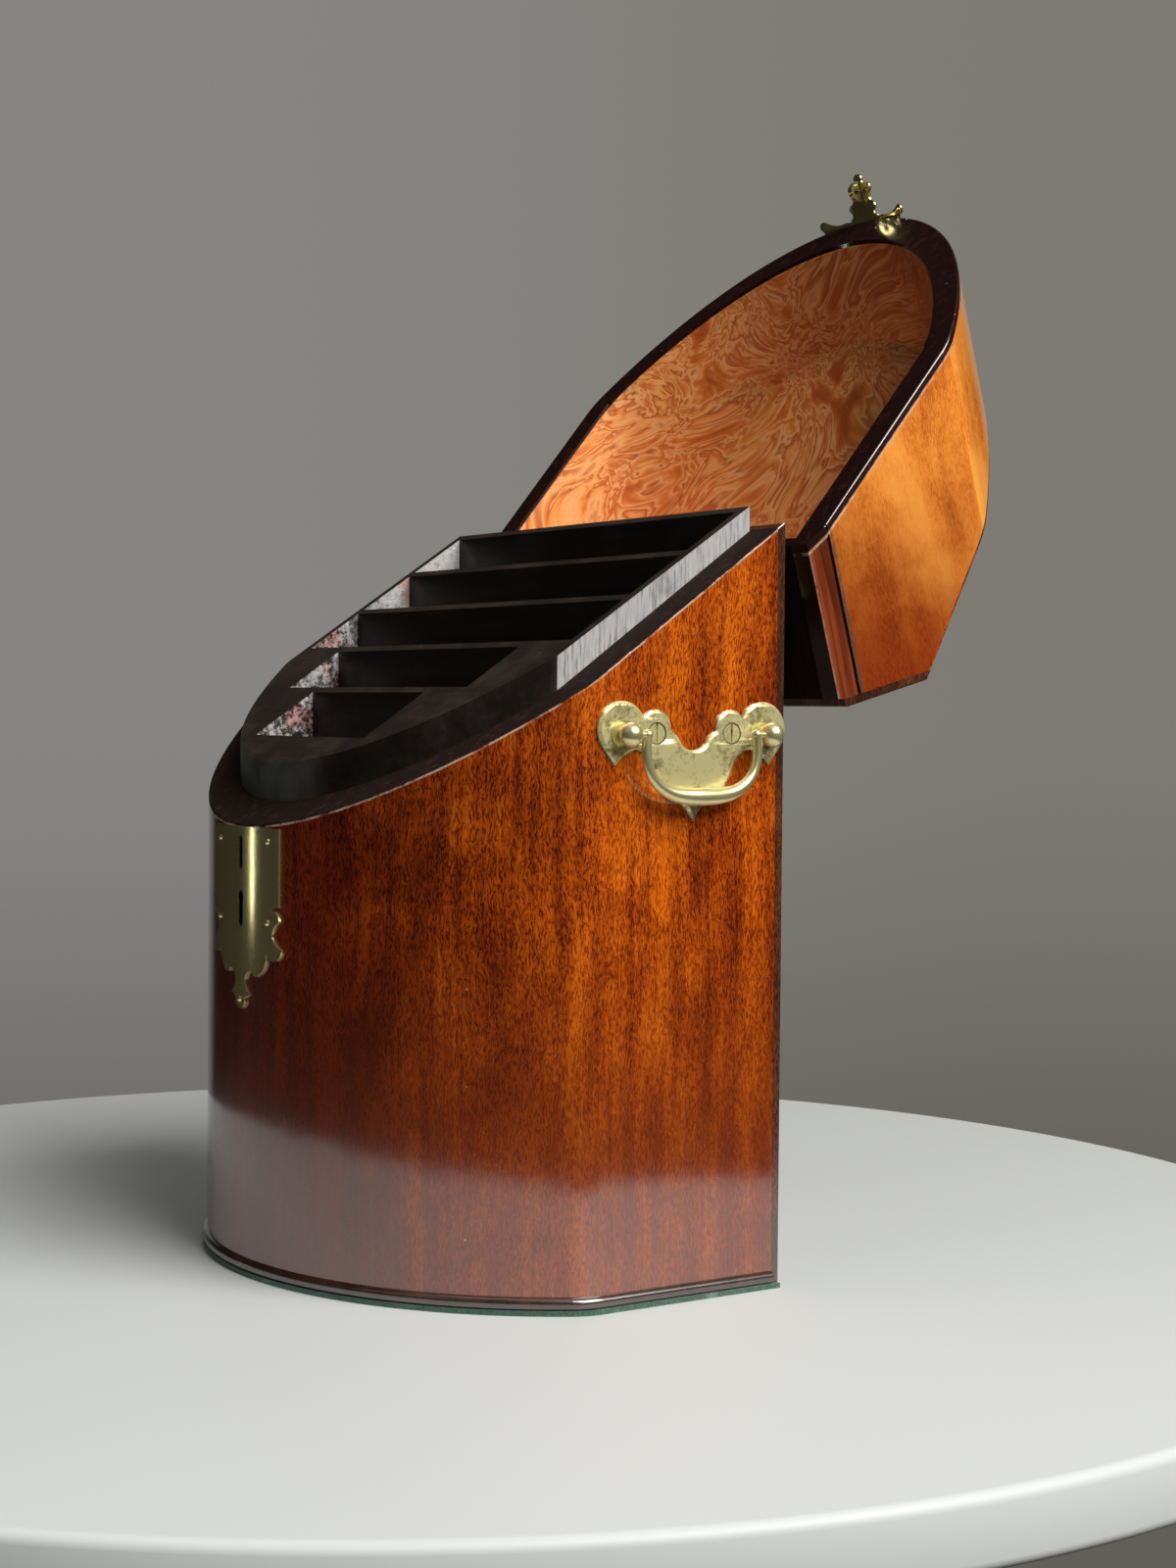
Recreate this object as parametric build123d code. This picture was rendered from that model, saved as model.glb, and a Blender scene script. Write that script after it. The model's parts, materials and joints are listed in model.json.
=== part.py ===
from build123d import *
import math
import os

# An antique knife box: a mahogany case with flat sides and a bowed front, a sloping rim, a black
# insert with five letter slots, and a hipped lid hung on brass hinges, shown thrown right back.
# Millimetres. +Z is up, the front looks along -Y, and the origin is on the table under the middle.

# --- driving dimensions: case ---
case_width = 268.0
case_depth = 173.0                 # back face to the middle of the bow
straight_side_depth = 91.0         # flat part of each side, from the back face to the crease
case_back_height = 300.0           # back edge of the rim, above the base moulding
rim_angle = 35.5                   # fall of the rim from back to front
crease_radius = 22.0               # where the flat side turns into the bow
side_thickness = 18.0
bow_thickness = 13.3
back_thickness = 3.6
bottom_thickness = 9.0
baize_thickness = 2.0
baize_margin = 0.6                 # baize edge inside the moulding's nose
bead_height = 5.0
bead_projection = 2.3
edge_round = 0.8                   # worn arris along the rim

# --- driving dimensions: insert ---
insert_fit = 0.2                   # clearance of the insert in the case
insert_back_fit = 0.5              # and in front of the case's back
insert_back_rise = 9.7             # insert above the rim at the back
insert_front_rise = 16.0           # and at the middle of the bow
insert_wall = 5.2
partition_thickness = 3.2
slot_share = 0.1393                # depth of a full slot, as a share of the case's depth
front_slot_share = 0.1578          # and of the short slot behind the bow
second_slot_half_width = 77.5
front_slot_half_width = 49.0
floor_height = 85.0                # top of the slot floor above the base moulding
floor_thickness = 6.0

# --- driving dimensions: lid ---
lid_back_height = 68.7
lid_flat_depth = 44.9              # flat top, front to back
lid_slope_angle = 48.3             # fall of the sloping panel
lid_side_thickness = 14.0
lid_bow_thickness = 12.3
lid_back_thickness = 3.2
lid_top_thickness = 3.6
lid_slope_thickness = 4.6          # sloping panel between the walls
lid_slope_skin = 1.2               # and over the walls' edges
lid_corner_side = 7.9              # chamfer of the upright corner, along the side
lid_corner_back = 3.9              # and along the back
lid_corner_groove = 0.6            # line scratched beside the chamfer
lid_inner_crease_radius = 36.0
lid_edge_round = 0.8
rim_gap = 0.4                      # between the shut lid and the rim
lining_thickness = 0.4
lining_margin = 2.2                # bare wood between the rim and the paper
lid_open_angle = 164.6

# --- driving dimensions: hinges ---
hinge_axis_behind = 6.4            # pin centre behind the back face
hinge_axis_below = 4.8             # pin centre under the back edge of the rim
hinge_spacing = 150.0
hinge_length = 40.0
hinge_leaf_height = 34.0
hinge_leaf_thickness = 2.0
hinge_knuckle_radius = 4.0
hinge_pin_radius = 1.5
running_fit = 0.06
hinge_gap = 0.4                    # between knuckles, and between the moving leaf and the case
stop_lug_width = 8.0
stop_lug_height = 6.0
stop_gap = 0.35                    # between the stop lug and the lid's leaf
hinge_screw_head_radius = 2.6
hinge_screw_radius = 1.2
hinge_screw_length = 5.2

# --- driving dimensions: lock, escutcheon and hasp ---
plate_thickness = 1.0
plate_seat_gap = 0.08              # between the bent plates and the wood
escutcheon_half_width = 29.2
escutcheon_height = 74.0           # top edge to the tip of the finial
escutcheon_top_gap = 0.8           # under the rim
eye_radius = 4.6
eye_thickness = 2.4
eye_drop = 13.3                    # eye centre under the rim
eye_depth = 0.8                    # eye centre behind the plate's face
eye_hole_offset = 1.6
eye_hole_radius = 1.5
eye_slot_clearance = 0.4
eye_slot_side = 0.8                # room on each side of the eye in the slit
keyhole_drop = 29.3                # round part of the keyhole under the rim
keyhole_radius = 2.9
keyhole_leg = 12.2
lock_half_width = 11.0
lock_height = 37.0
lock_wall = 1.2
lock_pin_radius = 1.0
bolt_throw = 5.5
bolt_width = 1.8
bolt_thickness = 1.6
bolt_clearance = 0.3
tongue_half_width = 9.5
tongue_length = 21.0               # hasp tongue below the rim
tongue_gap = 0.35
tongue_thickness = 1.2
hasp_plate_height = 16.0
hasp_half_width = 27.5
hasp_scroll_drop = 3.0             # tips of the plate's scrolls below the rim
hasp_seat_margin = 1.2             # plate's seat on the lid starts this far above the rim
pin_head_radius = 1.1
pin_length = 6.0

# --- driving dimensions: side handles ---
handle_from_back = 44.6            # middle of the handle, in front of the back face
handle_below_rim = 84.9            # pivot under the back edge of the rim
post_spacing = 67.2
post_stand_off = 7.2               # pivot out from the side
post_ball_radius = 4.8
post_neck_radius = 2.6
post_flange_radius = 5.6
post_shank_radius = 1.7
post_shank_length = 15.0
lobe_radius = 11.0
lobe_rise = 1.8                    # big lobe above the pivot line
small_lobe_radius = 7.0
small_lobe_offset = 17.9
small_lobe_rise = 2.6              # small lobe above the pivot line
valley_drop = 6.2                  # bottom of the valley between the small lobes, under the pivot line
handle_plate_thickness = 1.8
handle_plate_drop = 33.9           # pivot to the plate's lower point
handle_screw_rise = 0.4
handle_screw_head_radius = 4.1
handle_screw_radius = 1.8
handle_screw_length = 12.0
handle_screw_sink = 0.25           # screw face under the plate's face
bail_half_width = 25.9
bail_drop = 24.0
bail_radius = 2.0
bail_grip_radius = 3.5
bail_grip_share = 0.36             # half length of the swelling, as a share of the rod
bail_pin_radius = 1.3
bail_pin_reach = 3.4               # pin inside the ball
bail_pin_end_gap = 0.5

# --- places worked out from the dimensions ---
base_height = baize_thickness + bead_height
back_y = case_depth / 2
front_y = -case_depth / 2
crease_y = back_y - straight_side_depth
bow_rise = case_depth - straight_side_depth
bow_radius = ((case_width / 2) ** 2 + bow_rise ** 2) / (2 * bow_rise)
bow_centre_y = front_y + bow_radius
rim_slope = math.tan(math.radians(rim_angle))
rim_back_z = base_height + case_back_height
rim_front_z = rim_back_z - case_depth * rim_slope
insert_slope = rim_slope - (insert_front_rise - insert_back_rise) / case_depth
lid_top_z = rim_back_z + lid_back_height
lid_break_y = back_y - lid_flat_depth
lid_slope = math.tan(math.radians(lid_slope_angle))
hinge_y = back_y + hinge_axis_behind
hinge_z = rim_back_z - hinge_axis_below
insert_back_y = back_y - back_thickness - insert_back_fit
insert_half_width = case_width / 2 - side_thickness - insert_fit
slot_half_width = insert_half_width - insert_wall
slot_width = case_depth * slot_share
front_slot_width = case_depth * front_slot_share
floor_z = base_height + floor_height
inside_bottom_z = baize_thickness + bottom_thickness
eye_z = rim_front_z - eye_drop
keyhole_z = rim_front_z - keyhole_drop
handle_y = back_y - handle_from_back
handle_z = rim_back_z - handle_below_rim
reach = 2 * max(case_width, case_depth, lid_top_z)   # longer than anything in the model


def rim_z(y, rise=0.0):
    """Height of the sloping rim plane, or of a plane parallel to it."""
    return rim_back_z - (back_y - y) * rim_slope + rise


def insert_z(y):
    """Height of the insert's sloping top."""
    return rim_back_z + insert_back_rise - (back_y - y) * insert_slope


def lid_z(y, depth=0.0):
    """Height of the lid's sloping panel, or of a plane at a depth inside it."""
    return lid_top_z - (lid_break_y - y) * lid_slope - depth / math.cos(math.radians(lid_slope_angle))


def side_prism(points, x_from, x_to):
    """A solid with an outline given as (y, z) points, running from x_from to x_to."""
    outline = make_face(Polyline(*points, close=True))
    start = Plane(origin=(x_from, 0, 0), x_dir=(0, 1, 0), z_dir=(1, 0, 0))
    return extrude(start * outline, amount=x_to - x_from)


def plan(side_inset, bow_inset, back_inset, radius):
    """The box's plan: straight back and sides, a bow at the front, and softened creases."""
    depth = case_depth * 2
    strip = Pos(0, back_y - back_inset - depth / 2) * Rectangle(case_width - 2 * side_inset, depth)
    disc = Pos(0, bow_centre_y) * Circle(bow_radius - bow_inset)
    outline = strip & disc
    creases = outline.vertices().sort_by(Axis.Y)[:2]
    return fillet(creases, radius)


def column(outline, low, high):
    """A plan outline raised from one height to another."""
    return extrude(Pos(0, 0, low) * outline, amount=high - low)


def under_plane(height_at):
    """Everything under a plane that falls towards the front."""
    far, near = back_y + reach, front_y - reach
    points = [(far, height_at(far)), (near, height_at(near)), (near, -3 * reach), (far, -3 * reach)]
    return side_prism(points, -reach, reach)


def y_band(y_from, y_to):
    """Everything between two upright planes across the box."""
    return Pos(0, (y_from + y_to) / 2, 0) * Box(2 * reach, y_to - y_from, 4 * reach)


def x_band(x_from, x_to):
    """Everything between two upright planes along the box."""
    return Pos((x_from + x_to) / 2, 0, 0) * Box(x_to - x_from, 2 * reach, 4 * reach)


def cylinder_along(direction, start, radius, length):
    """A cylinder from a point along a direction."""
    return extrude(Plane(origin=start, z_dir=direction) * Circle(radius), amount=length)


def mirrored(shape):
    """The same shape on the other side of the box."""
    return mirror(shape, about=Plane.YZ)


# --- case ---
outer_plan = plan(0, 0, 0, crease_radius)
inner_plan = plan(side_thickness, bow_thickness, back_thickness, crease_radius - bow_thickness)
under_rim = under_plane(rim_z)


def case_walls():
    """Two thick sides, the coopered bow front between their front ends, and a thin planted back."""
    shell = column(outer_plan, base_height, rim_back_z) & under_rim
    rim_edges = shell.faces().sort_by(Axis.Z)[-1].outer_wire().edges()
    shell = fillet(rim_edges, edge_round)
    shell -= column(inner_plan, 0, rim_back_z + 1)
    sides = shell & y_band(crease_y, back_y - back_thickness)
    right = sides & x_band(0, case_width)
    bow = shell & y_band(front_y - 1, crease_y)
    back = shell & y_band(back_y - back_thickness, back_y)
    back_foot = Pos(0, back_y - back_thickness / 2, (baize_thickness + base_height) / 2) * Box(
        case_width, back_thickness, bead_height
    )
    return right, bow, back + back_foot


def base_beads():
    """A half-round nosing under each wall, mitred at the creases."""
    wide = plan(-bead_projection, -bead_projection, 0, crease_radius + bead_projection)
    board = column(wide, baize_thickness, base_height) & y_band(front_y - reach, back_y - back_thickness)
    bead_end = back_y - back_thickness - 1
    nose = [edge for edge in board.edges() if edge.center().Y < bead_end or edge.length < bead_height]
    nose = [edge for edge in nose if abs(edge.center().Z - baize_thickness - bead_height / 2) > 1]
    board = fillet(nose, bead_height / 2 - 0.1)
    ring = board - column(inner_plan, 0, base_height + 1)
    front = ring & y_band(front_y - reach, crease_y)
    right = ring & y_band(crease_y, back_y) & x_band(0, case_width)
    return front, right


def case_bottom():
    """The bottom board, let in between the walls and the nosings."""
    return column(inner_plan, baize_thickness, inside_bottom_z)


def base_baize():
    """Baize glued under the whole base."""
    inset = baize_margin - bead_projection
    return column(plan(inset, inset, 0, crease_radius - inset), 0, baize_thickness)


# --- insert ---
insert_plan = plan(
    side_thickness + insert_fit, bow_thickness + insert_fit, back_thickness + insert_back_fit, 8.0
)
under_insert_top = under_plane(insert_z)
insert_body = column(insert_plan, inside_bottom_z, rim_back_z + insert_back_rise) & under_insert_top
slot_pitch = slot_width + partition_thickness
wall_faces = [insert_back_y - partition_thickness - n * slot_pitch for n in range(5)]


def insert_side():
    """One side board of the insert, from the back board to the bow block."""
    boards = insert_body & x_band(slot_half_width, case_width)
    return boards & y_band(wall_faces[3], wall_faces[0])


def insert_back():
    """The insert's back board, over the ends of the side boards."""
    return insert_body & y_band(wall_faces[0], insert_back_y)


def insert_bow_block():
    """The shaped block behind the bow, notched for the two short front slots."""
    block = insert_body & y_band(front_y, wall_faces[3])
    step_y = wall_faces[4] + partition_thickness
    block -= y_band(step_y, wall_faces[3]) & x_band(-second_slot_half_width, second_slot_half_width)
    front_wall_y = wall_faces[4] - front_slot_width
    block -= y_band(front_wall_y, step_y) & x_band(-front_slot_half_width, front_slot_half_width)
    return block


def partition(number):
    """A thin upright board between two slots, counted from the front, standing on the floor."""
    face_y = wall_faces[5 - number]
    half_width = front_slot_half_width if number == 1 else slot_half_width
    board = y_band(face_y, face_y + partition_thickness) & x_band(-half_width, half_width)
    return board & column(Rectangle(case_width, case_depth), floor_z, reach) & under_insert_top


def insert_floor():
    """The board that the letters stand on, fitted between the insert's walls."""
    opening = insert_body - insert_back() - insert_bow_block() - insert_side() - mirrored(insert_side())
    slab = column(Rectangle(case_width, case_depth), floor_z - floor_thickness, floor_z)
    return opening & slab


# --- lid, drawn shut ---
def lid_outline(top_depth, slope_depth):
    """Side view of the lid at depths inside its flat top and inside its sloping panel."""
    break_z = lid_top_z - top_depth
    near = front_y - reach
    break_y = near + (break_z - lid_z(near, slope_depth)) / lid_slope
    return [
        (back_y + reach, break_z),
        (break_y, break_z),
        (near, lid_z(near, slope_depth)),
        (near, -3 * reach),
        (back_y + reach, -3 * reach),
    ]


lid_inner_plan = plan(lid_side_thickness, lid_bow_thickness, lid_back_thickness, lid_inner_crease_radius)
under_lid = side_prism(lid_outline(0, 0), -reach, reach)
under_wall_tops = side_prism(lid_outline(lid_top_thickness, lid_slope_skin), -reach, reach)
under_lid_panels = side_prism(lid_outline(lid_top_thickness, lid_slope_thickness), -reach, reach)
lid_block = column(outer_plan, rim_front_z - 1, lid_top_z) & under_lid
lid_block -= under_plane(lambda y: rim_z(y, rim_gap))
rim_face = [face for face in lid_block.faces() if face.normal_at().Z < -0.5][0]
top_faces = [face for face in lid_block.faces() if face.normal_at().Z > 0.5]
lid_block = fillet(rim_face.outer_wire().edges(), edge_round)
top_faces = [face for face in lid_block.faces() if face.normal_at().Z > 0.5]
top_edges = [edge for face in top_faces for edge in face.outer_wire().edges()]
ridge = [edge for edge in top_edges if abs(edge.center().X) < 1 and abs(edge.center().Y - lid_break_y) < 1]
top_edges = [edge for edge in top_edges if edge.center() not in [line.center() for line in ridge]]
lid_block = fillet(top_edges, lid_edge_round)


def lid_walls():
    """Lid sides with a chamfered back corner, the bow front, and a thin back let in between them."""
    shell = (lid_block & under_wall_tops) - column(lid_inner_plan, 0, lid_top_z + 1)
    inner_half = case_width / 2 - lid_side_thickness
    side = shell & y_band(crease_y, back_y) & x_band(inner_half, case_width)
    corner = [(case_width / 2, back_y - lid_corner_side), (case_width / 2 - lid_corner_back, back_y),
              (case_width, back_y), (case_width, back_y - lid_corner_side)]
    side -= column(make_face(Polyline(*corner, close=True)), 0, reach)
    groove_y = back_y - lid_corner_side - lid_corner_groove
    side -= Pos(case_width / 2, groove_y, 0) * Box(lid_corner_groove, lid_corner_groove, reach * 2)
    bow = shell & y_band(front_y - 1, crease_y)
    back = shell & y_band(back_y - lid_back_thickness, back_y) & x_band(-inner_half, inner_half)
    return side, bow, back


def lid_panels():
    """The flat top, lying on the walls, and the sloping panel, rebated to drop in between them."""
    flat_top = lid_block & column(Rectangle(reach, reach), lid_top_z - lid_top_thickness, lid_top_z + 1)
    front = lid_block - flat_top
    board = (front & column(lid_inner_plan, 0, lid_top_z)) - under_lid_panels
    return flat_top, (front - under_wall_tops) + board


def lid_lining():
    """Marbled paper pasted over the inside of the lid, up to a margin from the rim."""
    outside = column(lid_inner_plan, rim_front_z, lid_top_z) & under_lid_panels
    outside -= under_plane(lambda y: rim_z(y, lining_margin))
    hollow = plan(
        lid_side_thickness + lining_thickness,
        lid_bow_thickness + lining_thickness,
        lid_back_thickness + lining_thickness,
        lid_inner_crease_radius - lining_thickness,
    )
    depths = [thickness + lining_thickness for thickness in (lid_top_thickness, lid_slope_thickness)]
    inside = side_prism(lid_outline(*depths), -reach, reach)
    return outside - (column(hollow, 0, lid_top_z) & inside)


def opened(shape):
    """A lid piece turned from shut to its rest, thrown back on the hinge stops."""
    return shape.rotate(Axis((0, hinge_y, hinge_z), (1, 0, 0)), -lid_open_angle)


# --- hinges, drawn shut, at x = 0 ---
def hinge_screw_places(side):
    """Heights and offsets of the three screws of a leaf; side is 1 for the lid's leaf."""
    near = hinge_z + side * (hinge_leaf_height * 0.45)
    far = hinge_z + side * (hinge_leaf_height * 0.8)
    return [(-hinge_length * 0.32, near), (hinge_length * 0.32, near), (0, far)]


def knuckle(x_from, x_to):
    """A length of barrel round the pin."""
    barrel = cylinder_along((1, 0, 0), (x_from, hinge_y, hinge_z), hinge_knuckle_radius, x_to - x_from)
    return barrel


def pin_bore():
    """The running bore through the barrel."""
    return cylinder_along(
        (1, 0, 0), (-hinge_length, hinge_y, hinge_z), hinge_pin_radius + running_fit, 2 * hinge_length
    )


def knuckle_joints():
    """Where the lid's middle knuckle starts and ends."""
    half = hinge_length / 6
    return -half, half


def hinge_case_leaf():
    """The leaf on the case: two outer knuckles on webs, a plate, and the lug that stops the lid."""
    start, end = knuckle_joints()
    half = hinge_length / 2
    plate_top = hinge_z - hinge_knuckle_radius / 4
    web_low = hinge_z - hinge_knuckle_radius
    leaf = side_prism(
        [(back_y, hinge_z - hinge_leaf_height), (back_y + hinge_leaf_thickness, hinge_z - hinge_leaf_height),
         (back_y + hinge_leaf_thickness, plate_top), (back_y, plate_top)], -half, half)
    for x_from, x_to in ((-half, start - hinge_gap), (end + hinge_gap, half)):
        leaf += side_prism(
            [(back_y, web_low), (hinge_y, web_low), (hinge_y, plate_top), (back_y, plate_top)], x_from, x_to)
        leaf += knuckle(x_from, x_to)
    turn = math.radians(lid_open_angle)
    plate_arm = hinge_axis_behind - hinge_leaf_thickness

    def stop_y(z):
        """The lid leaf's outer face when the lid is thrown back."""
        return hinge_y + (plate_arm + (z - hinge_z) * -math.sin(turn)) / -math.cos(turn) - stop_gap

    lug_top = web_low - stop_lug_height / 3
    lug_low = lug_top - stop_lug_height
    leaf += side_prism(
        [(back_y, lug_low), (stop_y(lug_low), lug_low), (stop_y(lug_top), lug_top), (back_y, lug_top)],
        -stop_lug_width / 2, stop_lug_width / 2)
    return cut_screw_holes(leaf - pin_bore(), -1)


def hinge_lid_leaf():
    """The leaf on the lid: one middle knuckle on a web that clears the case, and a plate."""
    start, end = knuckle_joints()
    half = hinge_length / 2
    plate_low = hinge_z + hinge_knuckle_radius / 4
    web_high = hinge_z + hinge_knuckle_radius
    leaf_top = hinge_z + hinge_leaf_height
    seat_z = rim_back_z + hinge_gap
    inner = back_y + hinge_gap
    outer = back_y + hinge_leaf_thickness
    leaf = side_prism(
        [(inner, plate_low), (outer, plate_low), (outer, leaf_top), (back_y, leaf_top), (back_y, seat_z),
         (inner, seat_z)], -half, half)
    leaf += side_prism(
        [(inner, plate_low), (hinge_y, plate_low), (hinge_y, web_high), (inner, web_high)],
        start + hinge_gap / 2, end - hinge_gap / 2)
    leaf += knuckle(start + hinge_gap / 2, end - hinge_gap / 2)
    return cut_screw_holes(leaf - pin_bore(), 1)


def countersunk_screw(length, radius, head_radius, start, direction, slot_direction):
    """A wood screw with a flat slotted head, its face at the start point."""
    head_depth = head_radius - radius
    frame = Plane(origin=start, x_dir=slot_direction, z_dir=direction)
    profile = make_face(Polyline(
        (0, 0), (head_radius, 0), (radius, head_depth), (radius, length * 0.7), (0, length), close=True))
    screw = revolve(Plane.XZ * profile, Axis.Z)
    slot = Pos(0, 0, 0) * Box(2.2 * head_radius, head_radius * 0.22, head_radius * 0.4)
    return frame * (screw - slot)


def screw_hole(length, radius, head_radius, start, direction):
    """The countersunk hole that such a screw fills."""
    wide, narrow = head_radius + running_fit, radius + running_fit
    depth = head_radius - radius
    points = [(0, -1), (wide, -1), (wide, 0), (narrow, depth), (narrow, length), (0, length)]
    profile = make_face(Polyline(*points, close=True))
    return Plane(origin=start, z_dir=direction) * revolve(Plane.XZ * profile, Axis.Z)


def hinge_screws(side):
    """The three screws of one leaf."""
    return [countersunk_screw(hinge_screw_length, hinge_screw_radius, hinge_screw_head_radius,
                              (x, back_y + hinge_leaf_thickness, z), (0, -1, 0), (1, 0, 0))
            for x, z in hinge_screw_places(side)]


def hinge_screw_holes(side):
    """The holes of one leaf's screws, in the leaf and in the wood."""
    return [screw_hole(hinge_screw_length, hinge_screw_radius, hinge_screw_head_radius,
                       (x, back_y + hinge_leaf_thickness, z), (0, -1, 0))
            for x, z in hinge_screw_places(side)]


def cut_screw_holes(leaf, side):
    """A leaf with its countersunk holes."""
    for hole in hinge_screw_holes(side):
        leaf -= hole
    return leaf


def hinge_pin():
    """The plain brass pin."""
    return cylinder_along((1, 0, 0), (-hinge_length / 2, hinge_y, hinge_z), hinge_pin_radius, hinge_length)


# --- escutcheon, lock and hasp, at the middle of the bow ---
def bow_skin(inner, outer):
    """A thin curved shell that follows the bow, between two distances out from its face."""
    ring = Circle(bow_radius + outer) - Circle(bow_radius + inner)
    return Pos(0, bow_centre_y, 0) * extrude(ring, amount=reach)


def front_prism(outline):
    """An (x, z) outline run back through the front of the box."""
    start = Plane(origin=(0, front_y - reach / 4, 0), x_dir=(1, 0, 0), z_dir=(0, -1, 0))
    return extrude(start * outline, amount=-reach / 2)


def slot_outline(low, high, width):
    """An upright slot with round ends."""
    return Pos(0, (low + high) / 2) * Rotation(0, 0, 90) * SlotOverall(high - low, width)


def eye_slot():
    """The slit for the hasp's eye, as long as the eye's swing needs."""
    swing_high = (5 * eye_radius + 4 * eye_depth) / 3
    low = eye_z - eye_radius - eye_slot_clearance
    high = eye_z + swing_high + eye_slot_clearance
    return slot_outline(low, high, eye_thickness + 2 * eye_slot_side)


def keyhole():
    """A round for the key's shank over a straight leg for its bit."""
    leg_low = keyhole_z - keyhole_leg
    leg = slot_outline(leg_low, keyhole_z, keyhole_radius * 1.7)
    return (Pos(0, keyhole_z) * Circle(keyhole_radius)) + leg


def escutcheon_outline():
    """Half of the scrolled shield, mirrored: a straight top, hooked ogee sides, lobes and a finial."""
    top = rim_front_z - escutcheon_top_gap

    def at(across, down):
        """A point as shares of the half width and of the height."""
        return escutcheon_half_width * across, top - escutcheon_height * down

    shoulder, notch = at(1.0, 0.425), at(0.86, 0.434)
    bulge, neck, scroll = at(1.02, 0.5), at(0.855, 0.588), at(1.065, 0.65)
    under, cusp = at(0.905, 0.712), at(0.71, 0.683)
    lobe, dip, stem = at(0.535, 0.8), at(0.35, 0.79), at(0.15, 0.86)
    hook, waist, tip = at(0.31, 0.917), at(0.14, 0.94), at(0.0, 1.0)
    half = [
        Line(at(0, 0), at(1, 0)),
        Line(at(1, 0), shoulder),
        Line(shoulder, notch),
        ThreePointArc(notch, at(0.96, 0.459), bulge),
        ThreePointArc(bulge, at(0.905, 0.53), neck),
        ThreePointArc(neck, at(0.925, 0.622), scroll),
        ThreePointArc(scroll, at(1.02, 0.695), under),
        ThreePointArc(under, at(0.79, 0.71), cusp),
        ThreePointArc(cusp, at(0.68, 0.752), lobe),
        ThreePointArc(lobe, at(0.435, 0.812), dip),
        ThreePointArc(dip, at(0.22, 0.795), stem),
        ThreePointArc(stem, at(0.2, 0.893), hook),
        ThreePointArc(hook, at(0.22, 0.924), waist),
        ThreePointArc(waist, at(0.11, 0.985), tip),
        Line(tip, at(0, 0)),
    ]
    face = make_face(half)
    return face + mirror(face, about=Plane.YZ)


def pin_places():
    """The escutcheon's pins: two at the top, two at the shoulders and one in the finial."""
    top = rim_front_z - escutcheon_top_gap
    sides = [(side * escutcheon_half_width * 0.74, top - drop) for side in (-1, 1)
             for drop in (escutcheon_height * 0.07, escutcheon_height * 0.51)]
    return sides + [(0, top - escutcheon_height * 0.95)]


def bow_pin(x, z, face):
    """A small domed pin driven square into the bow; face is the plate's height off the wood."""
    turn = math.degrees(math.asin(x / bow_radius))
    head = Sphere(pin_head_radius * 1.25) & Pos(0, 0, pin_head_radius * 0.9) * Box(9, 9, pin_head_radius)
    pin = head + cylinder_along((0, 0, -1), (0, 0, pin_head_radius * 0.6), pin_head_radius * 0.5, pin_length)
    lift = bow_radius + face - pin_head_radius * 0.4
    place = Pos(0, bow_centre_y, z) * Rotation(0, 0, turn) * Pos(0, -lift, 0) * Rotation(90, 0, 0)
    return place * pin


def pin_hole(x, z):
    """The hole that such a pin fills."""
    turn = math.degrees(math.asin(x / bow_radius))
    hole = cylinder_along((0, 0, 1), (0, 0, -pin_length), pin_head_radius * 0.5 + running_fit, 2 * pin_length)
    place = Pos(0, bow_centre_y, z) * Rotation(0, 0, turn) * Pos(0, -bow_radius, 0) * Rotation(90, 0, 0)
    return place * hole


def escutcheon_plate():
    """The brass plate, bent to the bow, with the slit and the keyhole."""
    plate = front_prism(escutcheon_outline()) & bow_skin(plate_seat_gap, plate_thickness)
    plate -= front_prism(eye_slot()) + front_prism(keyhole())
    for x, z in pin_places():
        plate -= pin_hole(x, z)
    return plate


lock_front_y = front_y + plate_thickness * 0.4     # bolt side of the lock, just behind the plate
lock_back_y = front_y + bow_thickness - lock_wall
lock_top_z = eye_z + lock_height * 0.24
lock_low_z = lock_top_z - lock_height
bolt_y = front_y - plate_thickness + eye_depth + eye_hole_offset


def box_between(low, high):
    """A plain block between two corners."""
    centre = [(a + b) / 2 for a, b in zip(low, high)]
    size = [b - a for a, b in zip(low, high)]
    return Pos(*centre) * Box(*size)


def lock_mortise():
    """The pocket cut in the bow front for the lock."""
    return box_between(
        (-lock_half_width, front_y - plate_thickness / 2, lock_low_z),
        (lock_half_width, front_y + bow_thickness + 1, lock_top_z))


def lock_case():
    """An open-fronted iron case with two guide rails and the pin that a barrel key turns on."""
    bolt_top = bolt_width * 2
    outside = box_between((-lock_half_width, lock_front_y + bolt_thickness, lock_low_z),
                          (lock_half_width, lock_back_y, lock_top_z))
    inside = box_between(
        (-lock_half_width + lock_wall, lock_front_y, lock_low_z + lock_wall),
        (lock_half_width - lock_wall, lock_back_y - lock_wall, lock_top_z - lock_wall))
    case = outside - inside
    for low, high in ((eye_z + bolt_top + bolt_clearance, eye_z + bolt_top + lock_wall),
                      (eye_z - bolt_top - lock_wall, eye_z - bolt_top - bolt_clearance)):
        case += box_between((-lock_half_width + lock_wall, bolt_y + bolt_thickness, low),
                            (lock_half_width - lock_wall, lock_back_y - lock_wall, high))
    case -= cylinder_along((1, 0, 0), (-eye_thickness / 2 - eye_slot_clearance, front_y, eye_z),
                           eye_radius * 1.6, eye_thickness + 2 * eye_slot_clearance) & y_band(
                               front_y, lock_back_y - lock_wall)
    case += cylinder_along((0, -1, 0), (0, lock_back_y - lock_wall, keyhole_z), lock_pin_radius,
                           lock_back_y - lock_wall - front_y - plate_thickness)
    return case


def lock_cap():
    """The cover plate behind the lock, flush with the inside of the bow front."""
    return box_between((-lock_half_width, lock_back_y, lock_low_z),
                       (lock_half_width, lock_back_y + lock_wall, lock_top_z))


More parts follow.
